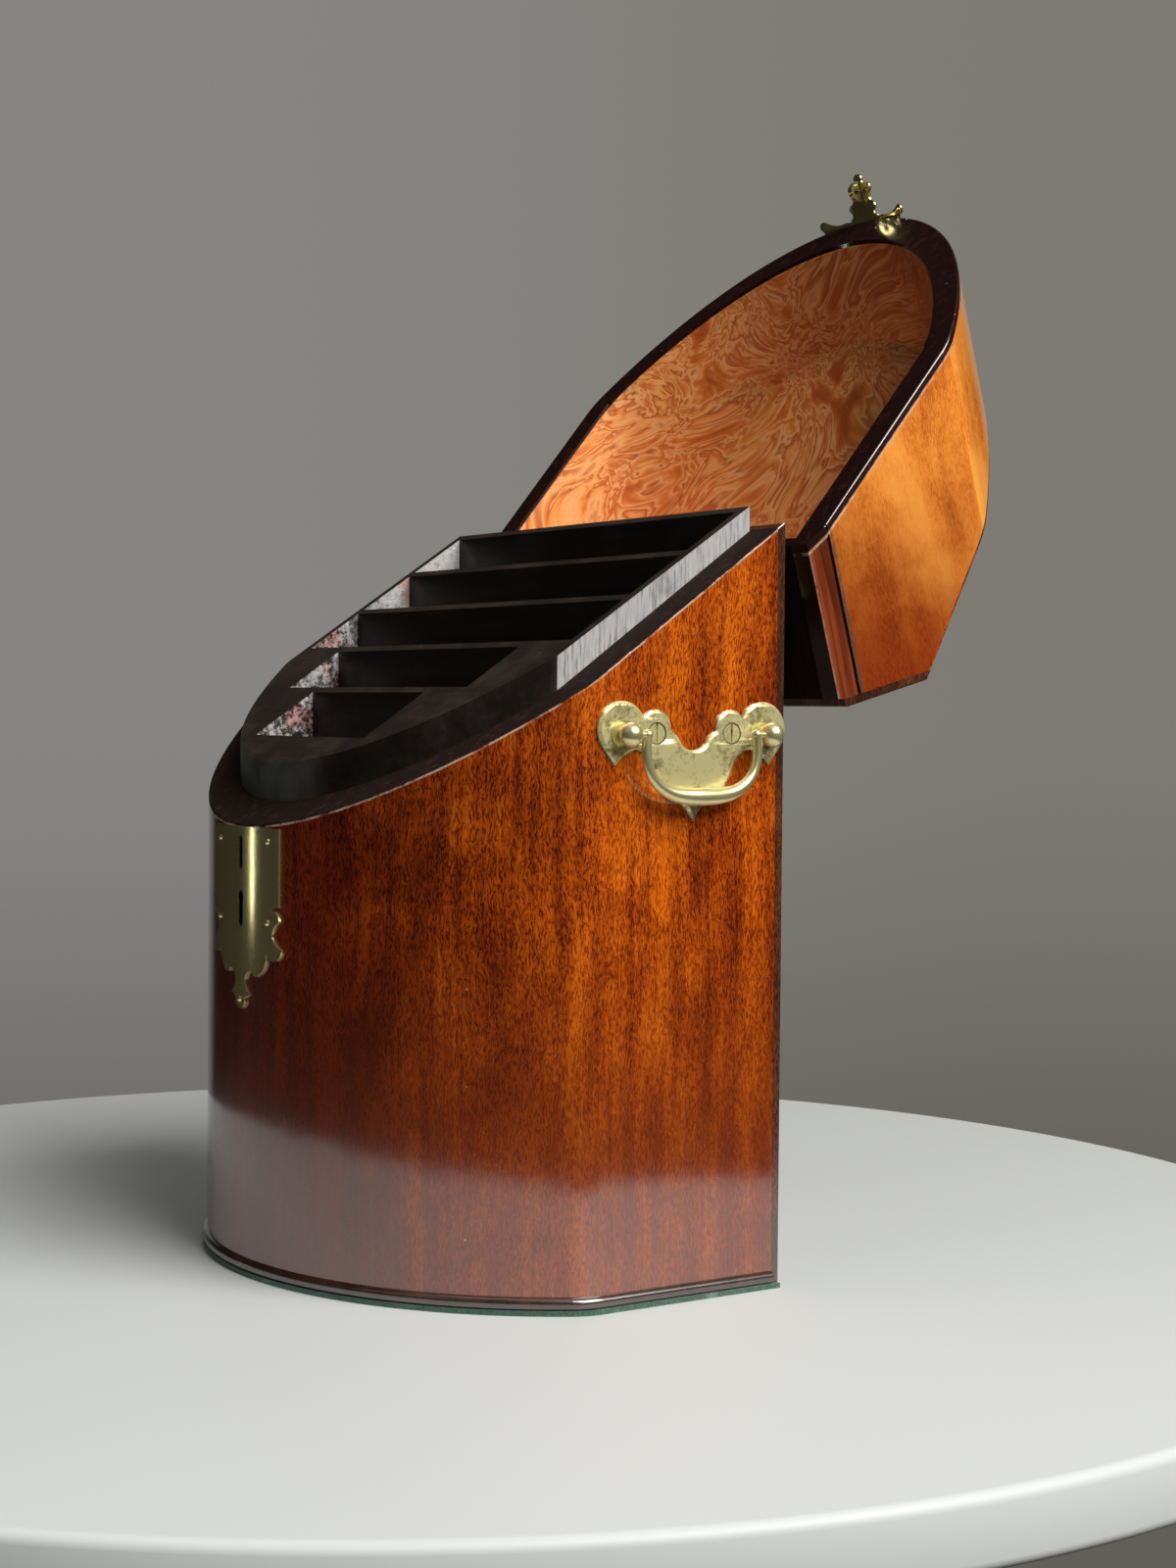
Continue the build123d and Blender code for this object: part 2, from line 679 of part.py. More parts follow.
def lock_bolt():
    """The bolt, drawn back: a nose that shoots through the hasp's eye and a tail between the rails."""
    nose_end = -eye_thickness / 2 - bolt_clearance
    tail_start = -lock_half_width + lock_wall + bolt_clearance
    half = bolt_thickness / 2
    nose = box_between((tail_start, bolt_y - half, eye_z - bolt_width / 2),
                       (nose_end, bolt_y + half, eye_z + bolt_width / 2))
    tail_back = lock_back_y - lock_wall - bolt_clearance
    tail = box_between((tail_start, bolt_y + half, eye_z - bolt_width * 2),
                       (nose_end - bolt_throw, tail_back, eye_z + bolt_width * 2))
    return nose + tail


def mirrored_face(lines):
    """A half outline made into a face and joined to its mirror."""
    half = make_face(lines)
    return half + mirror(half, about=Plane.YZ)


def hasp():
    """The lid's hasp: a scrolled plate, a scalloped tongue over the escutcheon, and the tongue's eye."""
    wide = hasp_half_width

    def up(across, share):
        """A point on the plate, as shares of its half width and of its height above the rim."""
        return wide * across, rim_front_z + hasp_plate_height * share

    def down(across, share):
        """A point on the tongue, as shares of its half width and of its length below the rim."""
        return tongue_half_width * across, rim_front_z - tongue_length * share

    scroll = (wide * 0.98, rim_front_z - hasp_scroll_drop)
    upper = [
        Line(down(0, 0.5), down(0.9, 0)),
        Line(down(0.9, 0), up(0.5, -0.02)),
        ThreePointArc(up(0.5, -0.02), up(0.78, -0.03), scroll),
        ThreePointArc(scroll, up(1.08, -0.1), up(0.98, 0.08)),
        ThreePointArc(up(0.98, 0.08), up(0.9, 0.3), up(0.74, 0.42)),
        ThreePointArc(up(0.74, 0.42), up(0.6, 0.72), up(0.36, 0.66)),
        ThreePointArc(up(0.36, 0.66), up(0.2, 0.74), up(0.12, 0.92)),
        ThreePointArc(up(0.12, 0.92), up(0.08, 1.0), up(0, 1.02)),
        Line(up(0, 1.02), down(0, 0.5)),
    ]
    lower = [
        Line(up(0, 0.3), (tongue_half_width, up(0, 0.3)[1])),
        Line((tongue_half_width, up(0, 0.3)[1]), down(1.0, 0.05)),
        ThreePointArc(down(1.0, 0.05), down(0.82, 0.13), down(0.98, 0.22)),
        ThreePointArc(down(0.98, 0.22), down(0.92, 0.33), down(0.7, 0.38)),
        ThreePointArc(down(0.7, 0.38), down(0.62, 0.5), down(0.74, 0.6)),
        ThreePointArc(down(0.74, 0.6), down(0.8, 0.74), down(0.52, 0.79)),
        ThreePointArc(down(0.52, 0.79), down(0.3, 0.81), down(0.3, 0.9)),
        ThreePointArc(down(0.3, 0.9), down(0.22, 0.98), down(0, 1.0)),
        Line(down(0, 1.0), up(0, 0.3)),
    ]
    outline = mirrored_face(upper) + mirrored_face(lower)
    face_in = plate_thickness + tongue_gap
    face_out = face_in + tongue_thickness
    body = front_prism(outline) & bow_skin(face_in, face_out)
    seat = front_prism(mirrored_face(upper)) & bow_skin(plate_seat_gap, face_in + tongue_thickness / 2)
    body += seat & column(Rectangle(reach, reach), rim_front_z + hasp_seat_margin, reach)
    eye_y = front_y - plate_thickness + eye_depth
    tongue_y = front_y - face_in - tongue_thickness / 2
    half = eye_thickness / 2
    eye = cylinder_along((1, 0, 0), (-half, eye_y, eye_z), eye_radius, eye_thickness)
    eye += box_between((-half, tongue_y, eye_z - eye_radius * 0.8), (half, eye_y, eye_z + eye_radius * 0.8))
    eye = eye & y_band(tongue_y, back_y)
    hole_y = eye_y + eye_hole_offset
    hole = cylinder_along((1, 0, 0), (-eye_thickness, hole_y, eye_z), eye_hole_radius, 2 * eye_thickness)
    return body + eye - hole


def hasp_pin_places():
    """The two pins through the hasp's plate."""
    return [(side * hasp_half_width * 0.6, rim_front_z + hasp_plate_height * 0.3) for side in (-1, 1)]


# --- side handles, right-hand side ---
side_face_x = case_width / 2
pivot_x = side_face_x + post_stand_off


def on_side(outline, thickness):
    """A (y, z) outline about the handle's pivot line, raised from the right side's face."""
    start = Plane(origin=(side_face_x, handle_y, handle_z), x_dir=(0, 1, 0), z_dir=(1, 0, 0))
    return extrude(start * outline, amount=thickness)


def handle_outline():
    """A bat-wing plate: two big and two small lobes, a deep valley, eared corners, a pointed apron."""
    half = post_spacing / 2
    across = half - small_lobe_offset
    rise = small_lobe_rise - lobe_rise
    between = math.hypot(across, rise)
    share = (small_lobe_radius ** 2 - lobe_radius ** 2 + between ** 2) / (2 * between ** 2)
    height = math.sqrt(small_lobe_radius ** 2 - (share * between) ** 2) / between
    meet_y = small_lobe_offset + share * across + height * rise
    meet = (meet_y, small_lobe_rise - share * rise + height * across)
    inner = (small_lobe_offset - small_lobe_radius, small_lobe_rise)
    turn = math.radians(40)
    outer = (half + lobe_radius * math.cos(turn), lobe_rise - lobe_radius * math.sin(turn))
    drop = handle_plate_drop
    ear = (half * 1.09, -drop * 0.352)
    arch, flank = (half * 0.86, -drop * 0.19), (half * 0.72, -drop * 0.2)
    skirt, stem = (half * 0.46, -drop * 0.6), (half * 0.17, -drop * 0.79)
    wing = [
        Spline((0, -valley_drop), (half * 0.172, -valley_drop * 0.6), (half * 0.255, 0), inner,
               tangents=[(1, 0), (0, 1)]),
        ThreePointArc(inner, (small_lobe_offset, small_lobe_rise + small_lobe_radius), meet),
        ThreePointArc(meet, (half + lobe_radius * 0.6, lobe_rise + lobe_radius * 0.8), outer),
        Line(outer, ear),
        ThreePointArc(ear, (half * 0.985, -drop * 0.25), arch),
        ThreePointArc(arch, (half * 0.79, -drop * 0.175), flank),
        Spline(flank, (half * 0.61, -drop * 0.3), (half * 0.545, -drop * 0.42), skirt),
        ThreePointArc(skirt, (half * 0.34, -drop * 0.74), stem),
        ThreePointArc(stem, (half * 0.075, -drop * 0.88), (0, -drop)),
        Line((0, -drop), (0, -valley_drop)),
    ]
    return mirrored_face(wing)


def handle_screw_place(side):
    """The middle of a screw's face, in the small lobe on one side."""
    face = side_face_x + handle_plate_thickness - handle_screw_sink
    return face, handle_y + side * small_lobe_offset, handle_z + handle_screw_rise


def handle_holes():
    """What passes through the plate and into the wood: two post shanks and two screws."""
    holes = []
    for side in (-1, 1):
        start = (side_face_x + handle_plate_thickness + 1, handle_y + side * post_spacing / 2, handle_z)
        depth = post_shank_length + handle_plate_thickness + 1.3
        holes.append(cylinder_along((-1, 0, 0), start, post_shank_radius + running_fit, depth))
        holes.append(screw_hole(handle_screw_length, handle_screw_radius, handle_screw_head_radius,
                                handle_screw_place(side), (-1, 0, 0)))
    return holes


def handle_plate():
    """The cast brass backplate."""
    plate = on_side(handle_outline(), handle_plate_thickness)
    for hole in handle_holes():
        plate -= hole
    return plate


def handle_post(side):
    """A ball-ended post: a flange on the plate, a neck, the bored ball, and a shank into the wood."""
    y = handle_y + side * post_spacing / 2
    foot = (side_face_x + handle_plate_thickness, y, handle_z)
    neck_length = post_stand_off - handle_plate_thickness
    post = cylinder_along((1, 0, 0), foot, post_flange_radius, 1.0)
    post += cylinder_along((1, 0, 0), foot, post_neck_radius, neck_length)
    post += Pos(pivot_x, y, handle_z) * Sphere(post_ball_radius)
    post += cylinder_along((-1, 0, 0), foot, post_shank_radius, post_shank_length + handle_plate_thickness)
    mouth = (pivot_x, y - side * (post_ball_radius + 1), handle_z)
    bore_depth = bail_pin_reach + bail_pin_end_gap + 1
    post -= cylinder_along((0, side, 0), mouth, bail_pin_radius + running_fit, bore_depth)
    return post


def handle_screws():
    """Two slotted brass screws in the small lobes."""
    return [countersunk_screw(handle_screw_length, handle_screw_radius, handle_screw_head_radius,
                              handle_screw_place(side), (-1, 0, 0), (0, 0, 1)) for side in (-1, 1)]


def bail():
    """The swan-necked bail: one bent rod that swells to a grip, and a pin at each end in a post's ball."""
    top = bail_half_width
    frame = Plane(origin=(pivot_x, handle_y, handle_z), x_dir=(0, 1, 0), z_dir=(1, 0, 0))
    low = -bail_drop
    path = frame * Spline(
        (-top, 0), (-top * 1.02, low * 0.3), (-top * 0.92, low * 0.66), (-top * 0.69, low * 0.88), (0, low),
        (top * 0.69, low * 0.88), (top * 0.92, low * 0.66), (top * 1.02, low * 0.3), (top, 0))
    swell = bail_grip_radius - bail_radius
    sections = []
    for step in range(21):
        share = step / 20
        near_middle = max(0.0, 1 - abs(share - 0.5) / bail_grip_share)
        radius = bail_radius + swell * (1 - math.cos(math.pi * near_middle)) / 2
        sections.append(Plane(origin=path @ share, x_dir=(1, 0, 0), z_dir=path % share) * Circle(radius))
    rod = loft(sections)
    for side in (-1, 1):
        corner = (pivot_x, handle_y + side * top, handle_z)
        rod += Pos(*corner) * Sphere(bail_radius * 1.04)
        reach_out = post_spacing / 2 - post_ball_radius + bail_pin_reach - top
        rod += cylinder_along((0, side, 0), corner, bail_pin_radius, reach_out)
    return rod


# --- putting the pieces together ---
os.makedirs("parts", exist_ok=True)


def save(name, *solids):
    """Write one node."""
    export_step(solids[0] if len(solids) == 1 else Compound(children=list(solids)), f"parts/{name}.step")


def shift_x(shape, distance):
    """The same piece further along X."""
    return Pos(distance, 0, 0) * shape


half_hinge = hinge_spacing / 2
case_hinge_holes = [shift_x(hole, x) for x in (-half_hinge, half_hinge) for hole in hinge_screw_holes(-1)]
lid_hinge_holes = [shift_x(hole, x) for x in (-half_hinge, half_hinge) for hole in hinge_screw_holes(1)]


def drilled(shape, holes):
    """A piece with a list of holes cut out."""
    for hole in holes:
        shape -= hole
    return shape


side_wall, bow_front, back_wall = case_walls()
side_wall = drilled(side_wall, handle_holes())
bow_front = drilled(bow_front, [pin_hole(x, z) for x, z in pin_places()])
bow_front -= lock_mortise()
save("case_side_right", side_wall)
save("case_side_left", mirrored(side_wall))
save("case_bow_front", bow_front)
save("case_back", drilled(back_wall, case_hinge_holes))
save("case_bottom", case_bottom())
front_bead, side_bead = base_beads()
save("base_bead_front", front_bead)
save("base_bead_right", side_bead)
save("base_bead_left", mirrored(side_bead))
save("base_baize", base_baize())

save("insert_side_right", insert_side())
save("insert_side_left", mirrored(insert_side()))
save("insert_back", insert_back())
save("insert_bow_block", insert_bow_block())
save("insert_floor", insert_floor())
for number in range(1, 5):
    save(f"partition_{number}", partition(number))

save("escutcheon_plate", escutcheon_plate())
save("escutcheon_pins", *[bow_pin(x, z, plate_thickness) for x, z in pin_places()])
save("lock_case", lock_case())
save("lock_cap", lock_cap())
save("lock_bolt", lock_bolt())

lid_side, lid_bow, lid_back = lid_walls()
flat_top, slope_panel = lid_panels()
lid_bow = drilled(lid_bow, [pin_hole(x, z) for x, z in hasp_pin_places()])
lid_back = drilled(lid_back, lid_hinge_holes)
save("lid_side_right", opened(lid_side))
save("lid_side_left", opened(mirrored(lid_side)))
save("lid_bow_front", opened(lid_bow))
save("lid_back", opened(lid_back))
save("lid_flat_top", opened(flat_top))
save("lid_slope_panel", opened(slope_panel))
save("lid_lining", opened(lid_lining()))
save("hasp", opened(drilled(hasp(), [pin_hole(x, z) for x, z in hasp_pin_places()])))
hasp_face = plate_thickness + tongue_gap + tongue_thickness
save("hasp_pins", *[opened(bow_pin(x, z, hasp_face)) for x, z in hasp_pin_places()])

for hand, x in (("right", half_hinge), ("left", -half_hinge)):
    save(f"hinge_case_leaf_{hand}", shift_x(hinge_case_leaf(), x))
    save(f"hinge_lid_leaf_{hand}", opened(shift_x(hinge_lid_leaf(), x)))
    save(f"hinge_pin_{hand}", shift_x(hinge_pin(), x))
both_hinges = (-half_hinge, half_hinge)
save("hinge_case_screws", *[shift_x(screw, x) for x in both_hinges for screw in hinge_screws(-1)])
save("hinge_lid_screws", *[opened(shift_x(screw, x)) for x in both_hinges for screw in hinge_screws(1)])

plate, posts, screws, swing = handle_plate(), [handle_post(side) for side in (-1, 1)], handle_screws(), bail()
save("handle_plate_right", plate)
save("handle_posts_right", *posts)
save("handle_screws_right", *screws)
save("bail_right", swing)
save("handle_plate_left", mirrored(plate))
save("handle_posts_left", *[mirrored(post) for post in posts])
save("handle_screws_left", *[mirrored(screw) for screw in screws])
save("bail_left", mirrored(swing))
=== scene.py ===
import json
from math import cos, radians, sin

import bmesh
import bpy
from mathutils import Matrix, Vector
from mathutils.geometry import tessellate_polygon

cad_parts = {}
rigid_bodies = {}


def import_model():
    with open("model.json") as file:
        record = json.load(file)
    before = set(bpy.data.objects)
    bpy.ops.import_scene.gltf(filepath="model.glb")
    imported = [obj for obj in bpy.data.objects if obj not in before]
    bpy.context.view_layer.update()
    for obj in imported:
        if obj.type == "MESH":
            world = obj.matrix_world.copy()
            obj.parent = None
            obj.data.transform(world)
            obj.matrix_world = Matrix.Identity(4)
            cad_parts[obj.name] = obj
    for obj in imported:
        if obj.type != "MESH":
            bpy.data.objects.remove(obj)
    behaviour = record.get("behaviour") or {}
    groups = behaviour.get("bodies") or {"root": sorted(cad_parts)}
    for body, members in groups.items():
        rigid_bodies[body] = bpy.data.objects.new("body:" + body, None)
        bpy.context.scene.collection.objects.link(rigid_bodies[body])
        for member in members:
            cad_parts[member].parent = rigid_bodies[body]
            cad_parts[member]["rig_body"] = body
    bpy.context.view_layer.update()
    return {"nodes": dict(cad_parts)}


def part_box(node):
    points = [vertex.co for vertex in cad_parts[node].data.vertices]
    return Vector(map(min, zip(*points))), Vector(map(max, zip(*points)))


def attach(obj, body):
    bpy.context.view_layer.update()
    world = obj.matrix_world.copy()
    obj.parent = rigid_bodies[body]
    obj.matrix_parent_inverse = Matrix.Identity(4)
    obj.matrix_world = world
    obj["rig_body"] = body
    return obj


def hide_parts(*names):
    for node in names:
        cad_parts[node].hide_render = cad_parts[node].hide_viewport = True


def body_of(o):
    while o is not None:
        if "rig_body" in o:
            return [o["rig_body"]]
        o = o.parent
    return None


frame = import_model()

nodes = frame["nodes"]

# Camera: at the box's right front corner, a little above its middle and almost level.
# It stands about a metre away, with a lens a little longer than normal.
camera_data = bpy.data.cameras.new("camera")
camera_data.lens = 57.24
camera_data.sensor_width = 36
camera = bpy.data.objects.new("camera", camera_data)
camera_place = (0.92417, -0.52457, 0.23274)
camera_side = Vector((0.54807, 0.83639, 0.00808))
camera_up = Vector((-0.03049, 0.01032, 0.99948))
camera_back = Vector((0.83588, -0.54803, 0.03115))
camera_turn = Matrix((camera_side, camera_up, camera_back)).transposed().to_4x4()
camera.matrix_world = Matrix.Translation(camera_place) @ camera_turn
bpy.context.collection.objects.link(camera)
bpy.context.scene.camera = camera


# Table: a plain round top, painted a dull white, with its edge eased. It only carries the box,
# so it is scenery and no part of the object.
def add_node(tree, kind, inputs=None, **settings):
    """A shader node with its settings and its inputs, each a value or a socket to link."""
    node = tree.nodes.new(kind)
    for name, value in settings.items():
        setattr(node, name, value)
    for name, value in (inputs or {}).items():
        if isinstance(value, bpy.types.NodeSocket):
            tree.links.new(value, node.inputs[name])
        else:
            node.inputs[name].default_value = value
    return node


def finish_object(name, bm, material):
    """A smooth object at the origin from a bmesh."""
    mesh = bpy.data.meshes.new(name)
    bm.to_mesh(mesh)
    bm.free()
    obj = bpy.data.objects.new(name, mesh)
    bpy.context.collection.objects.link(obj)
    mesh.materials.append(material)
    mesh.polygons.foreach_set("use_smooth", [True] * len(mesh.polygons))
    return obj


def new_material(name, **inputs):
    """A material with one Principled shader; constants go on its own sockets."""
    material = bpy.data.materials.new(name)
    material.use_nodes = True
    tree = material.node_tree
    shader = tree.nodes["Principled BSDF"]
    for key, value in inputs.items():
        shader.inputs[key.replace("_", " ")].default_value = value
    return material, tree, shader


table_radius, table_thickness, table_edge = 0.421, 0.025, 0.004
table_middle = Vector((-0.043, 0.017, -table_thickness / 2))
table_paint, _, _ = new_material(
    "table_paint", Base_Color=(0.6, 0.62, 0.61, 1), Roughness=0.45, Specular_IOR_Level=0.3)
bm = bmesh.new()
bmesh.ops.create_cone(
    bm, cap_ends=True, segments=256, radius1=table_radius, radius2=table_radius,
    depth=table_thickness, matrix=Matrix.Translation(table_middle))
table_rims = [edge for edge in bm.edges
              if abs(edge.verts[0].co.z - edge.verts[1].co.z) < table_thickness / 2]
bmesh.ops.bevel(bm, geom=table_rims, offset=table_edge, segments=4, profile=0.5,
                affect="EDGES", material=-1)
table_top = finish_object("floor", bm, table_paint)
table_top.data.set_sharp_from_angle(angle=radians(40))


# Room: dull grey walls round the table. The wall beyond the box is the lit one, and only that
# one shows in the polish and the brass. Diffuse light from the room is weak and even.
def reckon(tree, operation, a, b=0.5, c=0.0):
    """A maths node's output."""
    return add_node(tree, "ShaderNodeMath", {0: a, 1: b, 2: c}, operation=operation).outputs[0]


def spread(tree, value, low, high, to_low=0.0, to_high=1.0):
    """A value's range stretched to another, with soft ends."""
    return add_node(tree, "ShaderNodeMapRange", {
        "Value": value, "From Min": low, "From Max": high, "To Min": to_low, "To Max": to_high},
        interpolation_type="SMOOTHSTEP").outputs[0]


def dot_product(tree, a, b):
    """How far one direction or place reaches along another."""
    return add_node(tree, "ShaderNodeVectorMath", {0: a, 1: b},
                    operation="DOT_PRODUCT").outputs["Value"]


world = bpy.data.worlds.new("room")
bpy.context.scene.world = world
world.use_nodes = True
room = world.node_tree
room.nodes.clear()
paths = add_node(room, "ShaderNodeLightPath").outputs
shows_room = reckon(room, "MAXIMUM", paths["Is Camera Ray"], paths["Is Glossy Ray"])
shows_room = reckon(room, "MAXIMUM", shows_room, paths["Is Transmission Ray"])
look = add_node(room, "ShaderNodeTexCoord").outputs["Generated"]
behind_box, along_wall, upward = (-0.8362, 0.5484, 0.0), (0.5484, 0.8362, 0.0), (0, 0, 1)
lit_wall = spread(room, dot_product(room, look, behind_box), 0.83, 0.94, 0.03, 1.0)
lit_wall = reckon(room, "MAXIMUM", lit_wall, paths["Is Camera Ray"])
skirting = spread(room, dot_product(room, look, upward), -0.24, 0.0, 0.58, 1.0)
lit_wall = reckon(room, "MULTIPLY", lit_wall, skirting)
warmer = spread(room, dot_product(room, look, along_wall), -0.16, 0.2)
wall_colour = add_node(room, "ShaderNodeMix", {
    0: warmer, 6: (0.243, 0.236, 0.228, 1), 7: (0.205, 0.196, 0.171, 1)}, data_type="RGBA")
wall = add_node(room, "ShaderNodeBackground", {
    "Color": wall_colour.outputs[2], "Strength": lit_wall}).outputs[0]
daylight = add_node(room, "ShaderNodeBackground", {
    "Color": (0.95, 0.97, 1.0, 1), "Strength": 0.085}).outputs[0]
room_light = add_node(room, "ShaderNodeMixShader", {0: shows_room, 1: daylight, 2: wall})
add_node(room, "ShaderNodeOutputWorld", {"Surface": room_light.outputs[0]})


# Lamps: one wide window high on the right, behind the box, does nearly all of the lighting. Two
# weak lamps lift the shadows, and the last one puts a narrow gleam on the bowed brass plate.
def soft_light(name, place, aim, size, watts, tint):
    """A rectangular studio light facing a point."""
    data = bpy.data.lights.new(name, "AREA")
    data.shape = "RECTANGLE"
    data.size, data.size_y = size
    data.energy = watts
    data.color = tint
    lamp = bpy.data.objects.new(name, data)
    lamp.location = place
    lamp.rotation_euler = (Vector(aim) - Vector(place)).to_track_quat("-Z", "Y").to_euler()
    bpy.context.collection.objects.link(lamp)


box_middle, lock_middle = (0, 0, 0.22), (0, 0, 0.19)
soft_light("window", (3.8, 1.0, 3.9), box_middle, (4.0, 3.5), 475, (1.0, 0.985, 0.965))
soft_light("ceiling", (0.1, -0.3, 2.3), box_middle, (1.3, 1.3), 3, (1.0, 0.99, 0.97))
soft_light("front_fill", (0.3, -2.0, 1.7), box_middle, (1.6, 1.2), 1.5, (1.0, 0.98, 0.96))
soft_light("far_window", (-1.62, -1.16, 0.05), lock_middle, (0.03, 0.13), 0.1, (1.0, 1.0, 0.97))


# Case walls: two flat sides and a bowed front, glued up from boards and veneered with mahogany.
# The grain stands upright under old shellac polish, and the sloping rims are black and worn.
def times(tree, a, b):
    """Two values multiplied."""
    return reckon(tree, "MULTIPLY", a, b)


def plus(tree, a, b):
    """Two values added."""
    return reckon(tree, "ADD", a, b)


def minus(tree, a, b):
    """One value less another."""
    return reckon(tree, "SUBTRACT", a, b)


def blend(tree, a, share, b):
    """Two values weighed against each other, the first by its share."""
    return plus(tree, times(tree, a, share), times(tree, b, round(1 - share, 6)))


def vector_maths(tree, operation, a, b):
    """A vector maths node's output."""
    return add_node(tree, "ShaderNodeVectorMath", {0: a, 1: b}, operation=operation).outputs[0]


def axis(tree, place, letter):
    """A place's X, Y or Z."""
    return add_node(tree, "ShaderNodeSeparateXYZ", {"Vector": place}).outputs[letter]


def noise(tree, place, scale, detail=4.0, rough=0.55, warp=0.0, stretch=None, output="Fac"):
    """Noise at a place, which may first be stretched along its axes."""
    if stretch:
        place = vector_maths(tree, "MULTIPLY", place, stretch)
    return add_node(tree, "ShaderNodeTexNoise", {
        "Vector": place, "Scale": scale, "Detail": detail, "Roughness": rough,
        "Distortion": warp}).outputs[output]


def strayed(tree, place, push, size):
    """A place pushed aside, by so much along each axis."""
    return vector_maths(tree, "ADD", place, vector_maths(tree, "MULTIPLY", push, size))


def mix_colour(tree, factor, a, b, kind="MIX"):
    """Two colours mixed."""
    return add_node(tree, "ShaderNodeMix", {0: factor, 6: a, 7: b},
                    data_type="RGBA", blend_type=kind).outputs[2]


def colour_steps(tree, factor, stops):
    """A colour ramp from (place, colour) stops."""
    ramp = add_node(tree, "ShaderNodeValToRGB", {"Fac": factor})
    steps = ramp.color_ramp.elements
    for place, _ in stops[2:]:
        steps.new(place)
    for step, (place, colour) in zip(steps, stops):
        step.position = place
        step.color = (*colour, 1)
    return ramp.outputs[0]


def new_group(name, inputs, outputs):
    """A shader node group with named inputs and outputs."""
    group = bpy.data.node_groups.new(name, "ShaderNodeTree")
    for label, kind, value in inputs:
        socket = group.interface.new_socket(label, in_out="INPUT", socket_type=kind)
        if value is not None:
            socket.default_value = value
    for label in outputs:
        group.interface.new_socket(label, in_out="OUTPUT", socket_type="NodeSocketFloat")
    given = add_node(group, "NodeGroupInput").outputs
    return group, given, add_node(group, "NodeGroupOutput").inputs


def group_node(tree, group, **inputs):
    """The outputs of a group placed in a material, with its inputs."""
    node = tree.nodes.new("ShaderNodeGroup")
    node.node_tree = group
    for name, value in inputs.items():
        socket = node.inputs[name.replace("_", " ")]
        if isinstance(value, bpy.types.NodeSocket):
            tree.links.new(value, socket)
        else:
            socket.default_value = value
    return node.outputs


def add_bump(tree, socket, height, distance, strength):
    """Fine relief on a shader's normal."""
    bump = add_node(tree, "ShaderNodeBump", {
        "Height": height, "Distance": distance, "Strength": strength})
    tree.links.new(bump.outputs[0], socket)


# Long fibres along one axis, short dark pores, and a slow cloudy figure across them.
grain_group, given, result = new_group(
    "wood_grain",
    [("Vector", "NodeSocketVector", None), ("Figure Size", "NodeSocketFloat", 1.0)],
    ["Fibre", "Dashes", "Figure", "Height"])
along = given["Vector"]
waver = noise(grain_group, along, 9.0, 2.0, stretch=(1, 1, 0.6), output="Color")
wavy = strayed(grain_group, along, waver, (0.016, 0.016, 0.0))
curl = noise(grain_group, along, 150.0, 2.0, 0.5, output="Color")
curly = strayed(grain_group, wavy, curl, (0.003, 0.003, 0.0))
broad = noise(grain_group, wavy, 1.0, 4.0, 0.6, stretch=(95, 95, 5))
narrow = noise(grain_group, wavy, 1.0, 4.0, 0.65, stretch=(430, 430, 14))
dashes = noise(grain_group, curly, 1.0, 3.0, 0.6, stretch=(2100, 2100, 290))
cloud_place = add_node(grain_group, "ShaderNodeVectorMath", {
    0: along, "Scale": reckon(grain_group, "DIVIDE", 1.0, given["Figure Size"])},
    operation="SCALE").outputs[0]
clouds = noise(grain_group, cloud_place, 1.0, 4.0, 0.55, 0.8, stretch=(27, 27, 15))
ripple = noise(grain_group, cloud_place, 1.0, 4.0, 0.62, 0.6, stretch=(90, 90, 130))
grain_height = plus(grain_group, times(grain_group, narrow, 0.35), times(grain_group, dashes, 0.5))
for label, value in (("Fibre", blend(grain_group, broad, 0.62, narrow)), ("Dashes", dashes),
                     ("Figure", blend(grain_group, clouds, 0.84, ripple)),
                     ("Height", grain_height)):
    grain_group.links.new(value, result[label])

# How deep a point lies under a sloping plane, for the dark bands that follow a rim.
plane_group, given, result = new_group(
    "plane_depth",
    [("Vector", "NodeSocketVector", None), ("Normal", "NodeSocketVector", (0, 0, 1)),
     ("Offset", "NodeSocketFloat", 0.0)],
    ["Depth"])
rise = dot_product(plane_group, given["Vector"], given["Normal"])
plane_group.links.new(minus(plane_group, given["Offset"], rise), result["Depth"])

# Sparse small nicks and dust, shared by the polished, the black and the brass pieces.
speck_group, given, result = new_group(
    "specks",
    [("Vector", "NodeSocketVector", None), ("Scale", "NodeSocketFloat", 160.0),
     ("Amount", "NodeSocketFloat", 0.1)],
    ["Mask"])
cells = add_node(speck_group, "ShaderNodeTexVoronoi", {
    "Vector": given["Vector"], "Scale": given["Scale"], "Randomness": 1.0}).outputs
chosen = add_node(speck_group, "ShaderNodeSeparateColor", {"Color": cells["Color"]}).outputs
kept = reckon(speck_group, "LESS_THAN", chosen[0], given["Amount"])
spot = reckon(speck_group, "LESS_THAN", cells["Distance"], times(speck_group, chosen[1], 0.1))
speck_group.links.new(times(speck_group, kept, spot), result["Mask"])

base_height, case_back_height, case_depth = 0.007, 0.3, 0.173
rim_angle = radians(35.5)
back_y, rim_back_z = case_depth / 2, base_height + case_back_height
rim_normal = Vector((0, -sin(rim_angle), cos(rim_angle)))
rim_plane = (rim_normal, rim_normal.dot(Vector((0, back_y, rim_back_z))))

